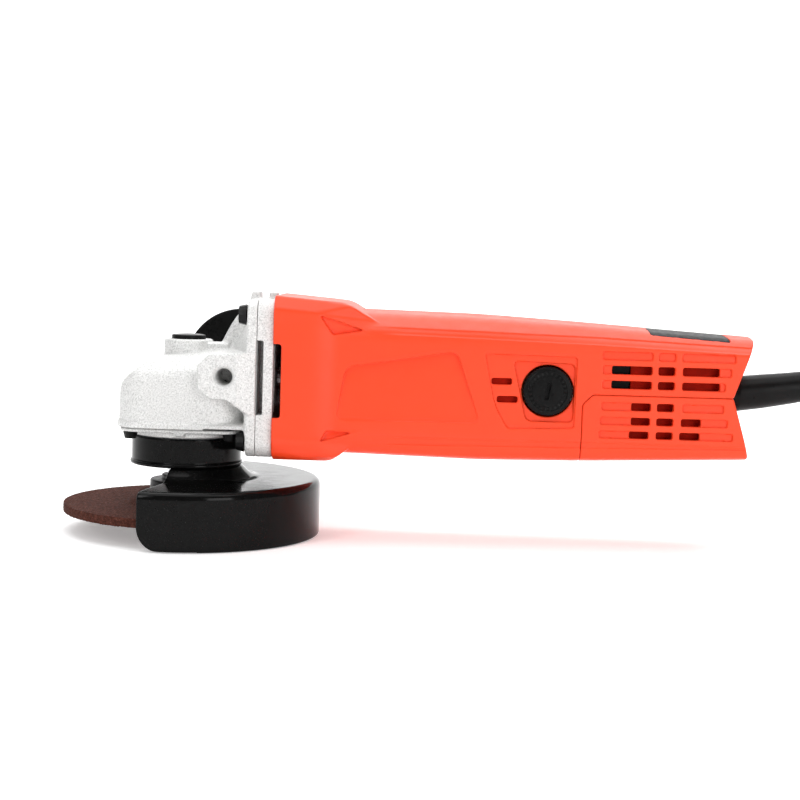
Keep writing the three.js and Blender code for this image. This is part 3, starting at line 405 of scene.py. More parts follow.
def turned(rho, s, profile, r=0.6):
    """A solid of revolution between the first and the last (place, radius) of its profile."""
    places, radii = (np.array(column, float) for column in zip(*profile))
    step = 0.15
    radius = np.interp(s, places, radii)
    rise = (np.interp(s + step, places, radii) - np.interp(s - step, places, radii)) / (2 * step)
    wall = (rho - radius) / np.sqrt(1 + np.minimum(rise * rise, 4))
    return smax(wall, slab(s, places[0], places[-1]), r)


def plane(x, y, z, normal, point):
    return sum(n * (at - p) for n, at, p in zip(normal, (x, y, z), point) if n)


# ---- fields to meshes --------------------------------------------------------------------------------


def slope_of(field, at, h=0.02):
    out = np.empty_like(at)
    for axis in range(3):
        more, less = at.copy(), at.copy()
        more[:, axis] += h
        less[:, axis] -= h
        out[:, axis] = field(*more.T) - field(*less.T)
    return out / (2 * h)


def settle(field, at, steps, reach):
    """Moves points onto the field's surface."""
    for _ in range(steps):
        rise = slope_of(field, at)
        step = field(*at.T) / np.maximum((rise * rise).sum(1), 0.1)
        at -= np.clip(step[:, None] * rise, -reach, reach)
    return at


def net(field, low, high, cell):
    """Vertices and quads of the field's surface on a regular grid."""
    axes = [np.arange(a, b + cell, cell, dtype=np.float32) for a, b in zip(low, high)]
    value = np.broadcast_to(field(*np.ix_(*axes)), [len(a) for a in axes]).astype(np.float32)
    inside = value < 0
    full = np.zeros([n - 1 for n in value.shape], np.uint8)
    for i in (0, 1):
        for j in (0, 1):
            for k in (0, 1):
                full += inside[i:i - 1 or None, j:j - 1 or None, k:k - 1 or None]
    mixed = (full > 0) & (full < 8)
    cells = np.array(np.nonzero(mixed))
    number = np.full(mixed.shape, -1, np.int64)
    number[tuple(cells)] = np.arange(cells.shape[1])
    total, count = np.zeros(cells.T.shape), np.zeros(cells.shape[1])
    for axis in range(3):
        first, second = [a for a in range(3) if a != axis]
        for a in (0, 1):
            for b in (0, 1):
                start = cells.copy()
                start[first] += a
                start[second] += b
                end = start.copy()
                end[axis] += 1
                v0, v1 = value[tuple(start)], value[tuple(end)]
                crossed = (v0 < 0) != (v1 < 0)
                share = v0[crossed] / (v0[crossed] - v1[crossed])
                place = start.T[crossed].astype(float)
                place[:, axis] += share
                total[crossed] += place
                count[crossed] += 1
    at = np.array([a[0] for a in axes]) + cell * total / count[:, None]
    quads = []
    for axis in range(3):
        u, w = (axis + 1) % 3, (axis + 2) % 3
        lower = [slice(None)] * 3
        upper = [slice(None)] * 3
        lower[axis], upper[axis] = slice(None, -1), slice(1, None)
        edge = np.array(np.nonzero(inside[tuple(lower)] != inside[tuple(upper)]))
        limit = np.array(mixed.shape)[:, None]
        edge = edge[:, (edge[u] > 0) & (edge[w] > 0) & (edge[u] < limit[u]) & (edge[w] < limit[w])]
        ring = []
        for back_u, back_w in ((1, 1), (0, 1), (0, 0), (1, 0)):
            cell_at = edge.copy()
            cell_at[u] -= back_u
            cell_at[w] -= back_w
            ring.append(number[tuple(cell_at)])
        faces = np.array(ring).T
        outward = inside[tuple(edge)]
        faces[~outward] = faces[~outward][:, ::-1]
        quads.append(faces)
    return at, np.concatenate(quads)


def fill_mesh(name, at, faces):
    mesh = bpy.data.meshes.new(name)
    mesh.vertices.add(len(at))
    mesh.vertices.foreach_set("co", (at * MM).astype(np.float32).ravel())
    mesh.loops.add(faces.size)
    mesh.loops.foreach_set("vertex_index", faces.astype(np.int32).ravel())
    mesh.polygons.add(len(faces))
    mesh.polygons.foreach_set("loop_start", np.arange(0, faces.size, faces.shape[1], dtype=np.int32))
    mesh.update(calc_edges=True)
    return mesh


def form(name, field, low, high, cell, keep, finish, body, slot, *nodes):
    """A piece with the field's surface, thinned to a share of its faces and shaded by the field's slope."""
    cell *= COARSE
    margin = 1.5 * cell
    at, faces = net(field, [v - margin for v in low], [v + margin for v in high], cell)
    at = settle(field, at, 2, cell / 2)
    obj = bpy.data.objects.new(name, fill_mesh(name, at, faces))
    bpy.context.collection.objects.link(obj)
    if keep < 1:
        thin = obj.modifiers.new("thin", "DECIMATE")
        thin.ratio = keep
        graph = bpy.context.evaluated_depsgraph_get()
        thinned = bpy.data.meshes.new_from_object(obj.evaluated_get(graph))
        obj.modifiers.clear()
        obj.data = thinned
        thinned.name = name
    mesh = obj.data
    at = np.empty(len(mesh.vertices) * 3, np.float32)
    mesh.vertices.foreach_get("co", at)
    at = settle(field, at.reshape(-1, 3).astype(float) / MM, 2, cell / 3)
    mesh.vertices.foreach_set("co", (at * MM).astype(np.float32).ravel())
    normals = slope_of(field, at, 0.06)
    normals /= np.maximum(np.linalg.norm(normals, axis=1), 1e-9)[:, None]
    mesh.polygons.foreach_set("use_smooth", np.ones(len(mesh.polygons), bool))
    mesh.update()
    mesh.normals_split_custom_set_from_vertices(normals.astype(np.float32))
    return finish_piece(obj, finish, body, slot, *nodes)


# ---- moulded body ------------------------------------------------------------------------------------

# x, top, bottom and half-width of the long rear form, carried forward under the front block
REAR_FORM = np.array([
    [30, 89.1, 31.0, 30.2], [69.3, 88.6, 30.6, 29.6], [120, 87.9, 29.5, 28.8], [160, 85.9, 30.1, 27.6],
    [231, 81.8, 32.5, 25.6], [240, 81.3, 32.8, 25.3],
])
# from the middle of the base to the middle of the top, as shares of the half-width and height
SECTION = [
    (0, 0), (0.72, 0), (0.9, 0.03), (0.965, 0.086), (1, 0.142), (1, 0.838), (0.965, 0.878), (0.88, 0.91),
    (0.62, 0.97), (0, 1),
]
WALL = 3.2  # a little more than the CAD's, so that the pressed panels keep a wall behind them
PARTING = {"z": 57.7, "x": 160.3, "chamfer": 4, "half_gap": 0.07}
# lower and upper heights of the long creases along each side, at three places from front to back
CREASES = [([79.3, 77.5, 75.4], [81.9, 80.3, 77.9]), ([35.6, 36.4, 37.2], [38.5, 38.7, 38.4])]
CAP_X = 146.3
CUT_TO = 14  # how near the middle plane the cuts through the sides reach


def across(y):
    """Distance from the tool's middle plane, rounded where the two sides meet."""
    return np.sqrt(y * y + 9) - 0.155


def rear_form(x, y, z):
    shifts = (-7, -3.5, 0, 3.5, 7)
    top, bottom, half = (
        sum(np.interp(x + shift, REAR_FORM[:, 0], REAR_FORM[:, column]) for shift in shifts) / len(shifts)
        for column in (1, 2, 3)
    )
    side, tall = across(y), top - bottom
    out = None
    for (u0, v0), (u1, v1) in zip(SECTION, SECTION[1:]):
        dy, dz = (u1 - u0) * half, (v1 - v0) * tall
        edge = ((side - u0 * half) * dz - (z - bottom - v0 * tall) * dy) / np.hypot(dy, dz)
        out = edge if out is None else smax(out, edge, 1.2)
    return out


def front_forms(x, y, z):
    """The wide block behind the gear head, and the two fins that fade from its corners into the sides."""
    side = across(y)
    flank = side - 32.2 + 0.018 * (x - 37.7)
    bevel = 0.714 * (side - 32.2) + 0.7 * (z + 0.093 * (x - 37.4) - 88.2)
    roof = smax(z + 0.076 * (x - 37.7) - 93, plane(x, side, z, (0.52, 0, 0.854), (65.2, 0, 91.5)), 1.5)
    base = meet(
        1.5, 27.4 - z, plane(x, side, z, (0.6, 0, -0.8), (60.9, 0, 27.9)),
        0.915 * (side - 32.2) - 0.403 * (z - 35.8), 0.377 * (side - 29.6) - 0.926 * (z - 29.9),
    )
    taper = plane(x, side, z, (0.293, 0.956, 0), (54.6, 31.9, 0))
    block = meet(1.0, flank, taper, bevel, roof, base)
    upper = meet(
        0.6, flank, bevel, roof, 58 - z, plane(x, side, z, (0.295, 0.773, 0.562), (54.6, 31.9, 86.6)),
        plane(x, side, z, (0.035, 0.963, -0.268), (55.6, 31.9, 85.7)),
    )
    lower = meet(
        0.6, flank, base, z - 58, plane(x, side, z, (0.23, 0.826, -0.515), (53, 31.9, 35.5)),
        plane(x, side, z, (0.045, 0.921, 0.388), (55, 31.9, 36.2)),
    )
    return block, upper, lower


def tail_end(x, y, z):
    """The tail's end, a shallow V from the side and hollowed in plan."""
    reach = np.interp(z, [33, 56.5, 57.7, 58.9, 81], [228.2, 222.5, 222.1, 222.6, 230.8])
    hollow = np.interp(z, [33, 57.7, 81], [0.3, 1.9, 2.6])
    return 0.94 * (x - reach + hollow * (y / 26) ** 2)


def skin(x, y, z):
    """The closed outer form without its ends."""
    return merge(0.6, rear_form(x, y, z), *front_forms(x, y, z))


def rows_of_vents(x, z, depth, side):
    """Through and blind slots in both sides of the tail."""
    full = [[167.9, 187.5], [189.9, 196.6]]
    rows = [  # lower and upper height, then (from, to, open from, open to) of each slot
        (71.8, 75.0, [(167.6, 187.5, 0, 0), (189.9, 196.6, 0, 0), (199.3, 220.5, 0, 0)]),
        (66.1, 69.5, [(*full[0], 171.5, 187.5), (*full[1], *full[1]), (199.6, 219, 199.6, 214.4)]),
        (60.4, 63.6, [(*full[0], 171.5, 187.5), (*full[1], *full[1]), (199.6, 216.8, 199.6, 214.7)]),
        (51.7, 54.9, [(*full[0], 179.8, 187.5), (*full[1], *full[1]), (200.2, 216.5, 0, 0)]),
        (46.0, 49.1, [(167.6, 187.4, 179.9, 187.4), (*full[1], *full[1]), (199.7, 218.3, 199.7, 207.7)]),
        (40.6, 43.6, [(167.3, 187, 179.4, 187), (*full[1], *full[1]), (199.3, 220.6, 199.3, 207.5)]),
    ]
    blind, through = 1e3, 1e3
    for low, high, slots in rows:
        for start, end, open_from, open_to in slots:
            blind = np.minimum(blind, rect2(x, z, (start, end), (low, high), 0.8))
            if open_to:
                through = np.minimum(through, rect2(x, z, (open_from, open_to), (low, high), 0.8))
    return np.minimum(np.maximum(blind, depth), np.maximum(through, CUT_TO - side))


def pressed(x, y, z, outer):
    """Everything pressed into or cut through the body's sides."""
    side = np.abs(y)
    near, far = y + 10, 10 - y

    def sunk(amount):
        return -(outer + amount)

    panel = outline2(x, z, [(66.1, 65.9), (109.9, 73.3), (119.7, 45.2), (62.6, 44.9)], 3.5)
    panel_depth = np.interp(z, [45, 73], [0.35, 2.0])
    tools = [meet(0.4, panel, sunk(panel_depth), near)]
    for pocket in ([(55.6, 85.9), (73.2, 80.4), (60.8, 78.4)], [(56.6, 36.0), (59.0, 40.4), (69.6, 39.8)]):
        tools.append(meet(0.5, outline2(x, z, pocket, 0.8), sunk(1.5)))
    crease = sunk(np.interp(x, [68, 88], [-0.4, 0.45]))
    for low_line, high_line in CREASES:
        low, high = (np.interp(x, [85, 166, 225], line) for line in (low_line, high_line))
        tools.append(meet(0.6, low - z, z - high, crease))
    plate = outline2(x, z, [
        (121, 72.8), (157.6, 72.4), (157.2, 44.1), (130.8, 43.3), (125.3, 52.7),
    ], 1.5)
    seat = outline2(x, z, [(132.4, 70.3), (157, 69.6), (156.8, 46.4), (138, 46.4)], 2.5)
    cap = rod(x, z, side, 10.35, (24.5, 40), (CAP_X, MOTOR_Z), 0.3)
    tools += [np.maximum(plate, sunk(0.8)), np.maximum(seat, sunk(2.0)), cap]
    tools.append(np.maximum(rows_of_vents(x, z, sunk(1.0), side), 12 - side))
    for reach, low in (((123.9, 132.0), 60.7), ((126.2, 134.5), 53.6)):
        tools.append(np.maximum(rect2(x, z, reach, (low, low + 2.6), 0.9), CUT_TO - side))
    tools.append(np.maximum(rect2(x, z, (30, 40.8), (44.9, 74.2), 1.2), 27.5 - side))
    tools.append(meet(0.5, rect2(x, z, (71, 111), (66, 79.6), 3), sunk(0.7), far))
    tools.append(np.maximum(rect2(x, z, (80, 100), (71, 74.6), 0.5), CUT_TO - y))
    tools.append(rod(y, z, x, 7.4, (214, 240), (0, 57.6), 0.3))
    return tools


def body(x, y, z):
    shape = skin(x, y, z)
    end = tail_end(x, y, z)
    outer = smax(smax(shape, end, 1.1), 37.55 - x, 0.5)
    room = smax(shape + WALL, end + 3, 1.0)
    whole = smax(outer, -room, 0.4)
    for tool in pressed(x, y, z, shape):
        whole = carve(whole, tool, 0.35)
    return whole


def cover_space(x, z):
    level, front = z - PARTING["z"], PARTING["x"] - x
    return meet(0.8, level, front, (level + front + PARTING["chamfer"]) * 0.7071)


def label_space(x, y):
    return rect2(x, y, (187.5, 219.5), (-18.5, 18.5), 1.2)


def cover_screws(x, y, z):
    return rod(x, np.abs(y), z, 3.7, (20, 37.2), (171, 15), 0.3)


def liner(x, y, z, depth, half_thickness, x_reach, z_reach):
    """A sheet in both sides of the body, that far below the skin."""
    sheet = slab(skin(x, y, z) + depth, -half_thickness, half_thickness)
    return meet(0.3, sheet, slab(x, *x_reach), slab(z, *z_reach), 9 - np.abs(y))


def painted_shade_card(x, y, z):
    """A black sheet behind the front ends of the tail's slots: painted shade standing in for the dark inside
    of the motor.
    """
    return liner(x, y, z, 7.5, 0.5, (168.5, 182), (38.5, 78.5))


def inner_wall(x, y, z):
    """The moulded wall that closes the tail's slots a little way in."""
    return liner(x, y, z, 6.2, 0.6, (179.6, 217), (38.5, 74.5))


def slot_backing(x, y, z):
    """What closes the two small slots in front of each brush cap."""
    return liner(x, y, z, 4.7, 0.6, (122.5, 135.8), (52.4, 64.6))


def motor_housing(x, y, z):
    shape = body(x, y, z)
    plate = meet(0.2, label_space(x, y) - 0.1, 70 - z, -(skin(x, y, z) + 1.25))
    return carve(carve(shape, cover_space(x, z) - PARTING["half_gap"], 0.5), plate, 0.2)


def rear_cover(x, y, z):
    shape = smax(body(x, y, z), cover_space(x, z) + PARTING["half_gap"], 0.5)
    return carve(shape, cover_screws(x, y, z), 0.4)


def rating_label(x, y, z):
    outer = skin(x, y, z)
    return meet(0.25, label_space(x, y) + 0.12, outer + 0.12, -(outer + 1.1), 70 - z)


# ---- gear head ---------------------------------------------------------------------------------------

FLANGE = {"front": 26.6, "seam": 30.9, "rear": 37.4, "z": 59.8, "half_y": 29.5, "half_z": 31.3}
SCREW_Y, SCREW_Z, SCREW_HEAD, SCREW_HOLE = 24.5, 25.3, 4.9, 2.4
HEAD_FOOT = 38.3  # the gear housing's lower face
HANDLE_X, HANDLE_Z, PAD_FACE = 18.2, 60.5, 31.5


def from_screw(y, z):
    """Distance from the axis of the nearest flange screw."""
    return np.hypot(np.abs(y) - SCREW_Y, np.abs(z - FLANGE["z"]) - SCREW_Z)


def flange_plate(x, y, z, reach, front_r, rear_r):
    z_reach = (FLANGE["z"] - FLANGE["half_z"], FLANGE["z"] + FLANGE["half_z"])
    outline = rect2(y, z, (-FLANGE["half_y"], FLANGE["half_y"]), z_reach, 6)
    return smax(smax(outline, reach[0] - x, front_r), x - reach[1], rear_r)


def head_form(x, y, z):
    """The gear housing without its openings."""
    side = np.abs(y)
    plan = rect2(x, y, (-26.0, 60), (-26.0, 26.0), 14)
    top = outline2(x, z, [(-27.5, 38), (-26.1, 55.3), (-13, 66.6), (17.3, 70.6), (60, 70.6), (60, 38)], 3)
    hip = 58.8 + 0.095 * (x + 20.5)
    roof = smax(0.62 * (side - 26.4) + 0.785 * (z - hip), 0.32 * (side - 12) + 0.947 * (z - 69.3), 3)
    block = meet(2.2, plan, top, roof, HEAD_FOOT - z)
    rim = meet(0.7, rect2(x, y, (-26.3, 60), (-26.6, 26.6), 13), slab(z, HEAD_FOOT, 41.0))
    flange = flange_plate(x, y, z, (FLANGE["front"], FLANGE["seam"]), 1.4, 0.12)
    rho = np.hypot(y, z - FLANGE["z"])
    widening = 17.6 * np.clip((x - 17.2) / 9.6, 0, 1) ** 1.4
    flare = np.maximum(smax(rho - 10.2 - widening, 17.2 - x, 1) * 0.6, -x)
    web = meet(2.0, side - 4.2, outline2(x, z, [
        (12.5, 60), (13.9, 72.8), (18.5, 81.9), (21.5, 85.8), (26.6, 90), (29, 90.5), (29, 60),
    ], 0.8))
    step = meet(1.0, side - 6, slab(x, 4, 17), slab(z, 60, 72.5))
    pad_outline = merge(
        1.0,
        outline2(x, z, [(8.0, 55.4), (7.6, 64.6), (12.6, 69.5), (33, 70.4), (33, 51.4), (13.2, 51.4)], 0.5),
        outline2(x, z, [(18.5, 60), (33, 60), (33, 45.2), (27.5, 45.4), (24.5, 47.6), (18.5, 51.6)], 0.5),
    )
    pad = smax(side - PAD_FACE + 0.28 * np.maximum(x - 23.5, 0), pad_outline, 0.9)
    lug = meet(1.0, side - 4, slab(x, 25.4, 29.8), 59.8 - z, z - 94.1, 0.93 * (24.9 - x) + 0.36 * (z - 91))
    boss = rod(x, y, z, 10, (60, 73.7), r=1.2)
    out = merge(1.6, merge(4.0, merge(2.5, block, flare), flange), web, step)
    out = merge(0.7, merge(0.3, out, rim), pad, lug, boss)
    return meet(0.6, out, x - FLANGE["seam"], HEAD_FOOT - np.where(x < 26, z, 99))


def gear_housing(x, y, z):
    side, out = np.abs(y), head_form(x, y, z)
    rho = np.hypot(x, y)
    motor = np.hypot(y, z - MOTOR_Z)
    room = np.maximum(smax(rho - 22.3, 0.51 * (rho - 14) + 0.86 * (z - 61), 1), z - 61)
    tools = [
        room, rod(y, z, x, 9.3, (5, 25), (0, MOTOR_Z)), np.maximum(motor - 14, 24 - x),
        rod(x, y, z, 6.9, (50, 65.8)), rod(x, y, z, 3.5, (55, 72)), rod(x, y, z, 7.4, (66.8, 90)),
    ]
    hole = np.hypot(x - HANDLE_X, z - HANDLE_Z)
    tools.append(np.maximum(hole - 3.3, 11 - side))
    tools.append(np.maximum(0.75 * (hole - 3.4) - 0.66 * (side - 30.2), 29 - side))
    screw = from_screw(y, z)
    tools += [smax(screw - SCREW_HEAD, slab(x, 10, FLANGE["front"]), 0.4), screw - SCREW_HOLE]
    tools.append(np.maximum(rect2(x, z, (30.7, 40), (45.7, 75.2), 0.8), 27.3 - side))
    under_pad = outline2(x, z, [(6, 50.9), (19.0, 50.9), (26.0, 45.6), (26.0, 41.3), (6, 41.3)], 1.2)
    out = carve(out, meet(1.0, -rect2(x, y, (-60, 25.4), (-26.1, 26.1), 13), under_pad, 15 - side), 1.0)
    for tool in tools:
        out = carve(out, tool, 0.6)
    return out


def gear_housing_cover(x, y, z):
    side = np.abs(y)
    out = flange_plate(x, y, z, (FLANGE["seam"] + 0.05, FLANGE["rear"] + 0.1), 0.12, 0.6)
    nub = meet(0.8, side - 3.2, slab(x, 33, 36.6), 59.8 - z, z - 94)
    out = merge(1.2, out, nub)
    motor = np.hypot(y, z - MOTOR_Z)
    screw = from_screw(y, z)
    tools = [
        meet(0.4, rect2(x, z, (29, 33.5), (45.7, 75.2), 0.8), 14.5 - side),
        np.maximum(rect2(x, z, (32.5, 40), (46.4, 74.5), 1.0), slab(side, 19, 26.6)),
        np.maximum(motor - 13.3, x - 36.4), motor - 9.6, screw - SCREW_HOLE,
    ]
    for tool in tools:
        out = carve(out, tool, 0.4)
    return out


def bearing_box(x, y, z):
    rho = np.hypot(x, y)
    plate = smax(rect2(x, y, (-24.6, 24.6), (-24.6, 24.6), 7.6), slab(z, 36.9, 38.2), 0.5)
    shoulder = rod(x, y, z, 22.3, (34.5, 38), r=0.8)
    nub = meet(0.6, slab(x, -1.5, 2.2), slab(y, -24.6, 0), slab(z, 35.6, 37.2))
    out = merge(0.8, merge(1.2, plate, shoulder, nub), smax(rho - 20.6, slab(z, 22.7, 38), 0.6))
    holes = np.hypot(np.abs(x) - 20, np.abs(y) - 20) - 2.2
    screw = from_screw(y, z)
    tools = [
        np.maximum(rho - 8.5, z - 25), np.maximum(rho - 16.3, 24.3 - z), holes,
        np.maximum(screw - SCREW_HEAD, 22.6 - x),
    ]
    for tool in tools:
        out = carve(out, tool, 0.3)
    return out


# ---- guard, collar, disc and flange ------------------------------------------------------------------

GUARD = {"radius": 55.7, "neck": 22.5, "wall": 1.8, "corner": 9.5}
SKIRT_FROM, SKIRT_TO, NECK_FROM, NECK_TO = -102, 70, -100, 57  # degrees round the spindle


def polar(radius, degrees):
    return radius * math.cos(math.radians(degrees)), radius * math.sin(math.radians(degrees))


def guard_ends(x, y):
    """How far a point lies beyond the guard's two straight ends."""
    out = []
    for neck, skirt, turn in ((NECK_FROM, SKIRT_FROM, -1), (NECK_TO, SKIRT_TO, 1)):
        (x0, y0), (x1, y1) = polar(GUARD["neck"], neck), polar(GUARD["radius"], skirt)
        long = math.hypot(x1 - x0, y1 - y0)
        out.append(turn * ((y - y0) * (x1 - x0) - (x - x0) * (y1 - y0)) / long)
    return np.where(y < 0, out[0], out[1])


def wheel_guard(x, y, z):
    rho = np.hypot(x, y)
    cap = smax(rho - GUARD["radius"], z - 17.3, 3.2)
    neck = meet(1.2, (rho + z - 44.9) * 0.7071, z - 22.4)
    outer = merge(2.5, cap, neck)
    shell = meet(0.9, outer, -(outer + GUARD["wall"]), FLOOR_Z - z, 20.9 - rho)
    start, bend = polar(GUARD["radius"], SKIRT_FROM), GUARD["corner"]
    along = (x - start[0]) * 0.978 - (y - start[1]) * 0.208
    corner = bend - np.hypot(np.maximum(bend - along, 0), np.maximum(bend - z + FLOOR_Z, 0))
    ends = np.maximum(guard_ends(x, y), np.where((y < 0) & (x < 12) & (rho > 45), -corner, -20))
    return smax(shell, ends, 0.7)


def guard_collar(x, y, z):
    rho = np.hypot(x, y)
    cos, sin = math.cos(math.radians(120)), math.sin(math.radians(120))
    out_way, cross = x * cos + y * sin, np.abs(y * cos - x * sin)
    lip = smax(slab(rho, 20.9, 23.1), slab(z, 22.45, 23.9), 0.6)
    band = merge(0.6, smax(slab(rho, 20.9, 22.5), slab(z, 22.45, 34.2), 0.6), lip)
    ear = meet(0.5, rect2(out_way, z, (20, 32), (23.0, 30.4), 2.2), slab(cross, 2, 4.2), 21 - rho)
    slit = meet(0.2, cross - 2, -out_way)
    bolt = np.hypot(out_way - 28.2, z - 26.7) - 2.3
    return carve(carve(merge(1.0, band, ear), slit, 0.3), np.maximum(bolt, 22 - out_way), 0.3)


def grinding_disc(x, y, z):
    rho = np.hypot(x, y)
    middle = 4 + 4.5 * np.clip((23.5 - rho) / 4.5, 0, 1)
    grains = 0.14 * np.sin(2.9 * x + 1.3 * z) * np.sin(3.1 * y - 0.7 * x) * np.sin(2.3 * z + 0.9 * y)
    return meet(0.5, np.abs(z - middle) - 1.85, rho - 49.8, 8.2 - rho) + grains


def inner_flange(x, y, z):
    rho = np.hypot(x, y)
    plate = meet(0.8, rho - 14.75, slab(z, 10.8, 15.5))
    face_cut = meet(0.4, slab(rho, 8.6, 12.6), z - 11.5)
    out = merge(0.5, carve(plate, face_cut, 0.3), smax(rho - 10, slab(z, 12, 17.5), 0.6))
    out = merge(0.3, out, smax(rho - 7.9, slab(z, 7.6, 14), 0.4))
    return carve(meet(0.3, out, np.where(z > 15.6, np.abs(y) - 8.6, -5)), rho - 5.2, 0.3)


def brush_cap(x, y, z):
    side, across_x, up = np.abs(y), x - CAP_X, z - MOTOR_Z
    rho, angle = np.hypot(across_x, up), np.arctan2(up, across_x)
    knurl = 0.28 * np.maximum(np.cos(44 * angle), 0)
    rim = smax(rho - 9.8 + knurl, slab(side, 24.9, 27.9), 0.7)
    face = rod(across_x, up, side, 8.6, (25, 28.2), r=0.6)
    turn = math.radians(80)
    u, v = across_x * math.cos(turn) + up * math.sin(turn), up * math.cos(turn) - across_x * math.sin(turn)
    slot = np.maximum(rect2(u, v, (-3.4, 3.4), (-0.8, 0.8), 0.5), 26.6 - side)
    dish = np.maximum(slab(rho, 6.3, 7.7), 27.95 - side - 0.1 * np.cos(24 * angle))
    return carve(carve(merge(0.3, rim, face), dish, 0.3), slot, 0.3)


def lock_button(x, y, z):
    rho = np.hypot(x, y)
    head = smax(smax(rho - 7, slab(z, 71, 75.9), 0.9), 0.13 * rho + z - 76.3, 0.6)
    groove = np.maximum(slab(rho, 4.2, 5.8), z - 74.8)
    pin = np.maximum(rho - 3.1, slab(z, 69.4, 72))
    blade = meet(0.2, rho - 3.1, np.abs(y) - 1, slab(z, 66, 72))
    return merge(0.2, carve(head, groove, 0.2), pin, blade)


def switch_knob(x, y, z):
    slide = meet(0.6, rect2(x, z, (78, 104), (68, 78), 2.5), slab(y, 30.2, 32))
    hump = 34.7 - 0.012 * (x - 91) ** 2
    grip = meet(1.2, rect2(x, z, (82.5, 99.5), (69, 77), 2), 31 - y, y - hump)
    grooves = np.maximum(np.abs(np.mod(x - 91 + 1.5, 3.0) - 1.5) - 0.6, slab(x, 84.4, 97.6))
    grip = carve(grip, np.maximum(grooves, 33.4 - y), 0.5)
    stem = np.maximum(np.maximum(slab(x, 87, 93), slab(y, 22.6, 31)), slab(z, 71.5, 74))
    bar = np.maximum(np.maximum(slab(x, 87, 167), slab(y, 22.6, 24.8)), slab(z, 70.5, 73))
    hook = np.maximum(np.maximum(slab(x, 164, 167), slab(y, 8.5, 24.8)), slab(z, 70.5, 73))
    return merge(0.4, slide, grip, stem, bar, hook)


# ---- side handle, cord guard and plug ----------------------------------------------------------------


def handle_grip(x, y, z):
    s, u, v = y - PAD_FACE, x - HANDLE_X, z - HANDLE_Z
    rho, angle = np.hypot(u, v), np.arctan2(v, u)
    neck = rod(u, v, s, 11, (0.3, 8), r=0.8)
    flange = rod(u, v, s, 25, (6.6, 9.3), r=1.1)
    grip = turned(rho, s, [
        (8, 19.5), (10, 17.5), (13, 14.8), (22, 15.2), (40, 16.6), (55, 17.3), (72, 17.1), (86, 16.3),
        (102, 15.2), (108, 16.2), (112, 17), (116, 16.8), (118, 15.4), (119, 13),
    ], 1.5)
    ribs = np.maximum(np.cos(2 * math.pi * s / 7), 0) * np.clip(np.minimum(s - 20, 104 - s) / 4, 0, 1)
    flutes = np.maximum(np.cos(12 * angle) - 0.35, 0) * np.clip(np.minimum(s - 16, 106 - s) / 4, 0, 1)
    out = merge(2.0, neck, flange, grip + 0.55 * ribs + 0.5 * flutes)
    return carve(out, np.maximum(rho - 3.6, s - 30), 0.3)


def cord_guard(x, y, z):
    u = z - guard_line(x)
    rho = np.hypot(y, u)
    sleeve = turned(rho, x, [
        (203, 4.5), (222, 6.6), (227, 7.3), (236, 7.1), (245, 6.7), (254, 6.3), (260.6, 5.9), (261.3, 5.3),
    ], 0.5)
    anchor = smax(rho - 9, slab(x, 213, 217.6), 0.4)
    return merge(0.4, sleeve, anchor)


PLUG_X, PLUG_Y, PLUG_Z = TAIL_X, 76.09, FLOOR_Z + 7.2


def mains_plug(x, y, z):
    s, u, v = y - PLUG_Y, x - PLUG_X, z - PLUG_Z
    relief = turned(np.hypot(u, v + 1), s, [(0, 4.0), (16, 5.6), (19, 5.9)], 0.5)
    gaps = np.maximum(np.abs(np.mod(s, 3.2) - 1.6) - 0.5, np.maximum(slab(s, 1.6, 15), 1.6 - np.abs(u)))
    relief = carve(relief, np.maximum(gaps, 3.6 - np.hypot(u, v + 1)), 0.4)
    flare = np.clip((s - 15.8) / 10, 0, 1) ** 0.5
    half = 7.5 + 5 * flare - 1.1 * np.clip((s - 30) / 18, 0, 1)
    body_part = meet(1.6, rect2(u, v, (-12.5, 12.5), (-7, 7), 5), np.abs(u) - half, slab(s, 15.4, 50))
    nose = smax(rect2(u, v, (-10.6, 10.6), (-6.2, 6.2), 4.5), slab(s, 48, 54), 0.8)
    out = merge(1.2, relief, body_part)
    grips = np.maximum(np.abs(np.mod(s, 4) - 2) - 0.7, np.maximum(slab(s, 24, 44), 6.5 - np.abs(v)))
    out = carve(out, grips, 0.6)
    return merge(0.6, out, nose)


def plug_pins(x, y, z):
    s, u, v = y - PLUG_Y, np.abs(x - PLUG_X) - 8.5, z - PLUG_Z
    pin = rod(u, v, s, 2.2, (50, 71.9), r=1.0)
    waist = np.maximum(slab(s, 56, 62), 2.05 - np.hypot(u, v))
    return carve(pin, waist, 0.2)


def cable_tie(x, y, z):
    """A strap drawn round the coil's bundle."""
    dx, dy = x - LANDING_X, y - COIL_Y
    rho = np.hypot(dx, dy)
    turn = math.radians(135)
    along, out_way = dy * math.cos(turn) - dx * math.sin(turn), dx * math.cos(turn) + dy * math.sin(turn)
    ring_z = (COIL["bottom"] - 3.5, COIL["top"] + 3.5)
    inner = rect2(rho, z, (COIL["middle"] - 10.5, COIL["middle"] + 10.5), ring_z, 3.5)
    return meet(0.2, slab(inner, -0.15, 0.5), np.abs(along) - 1.8, 5 - out_way)


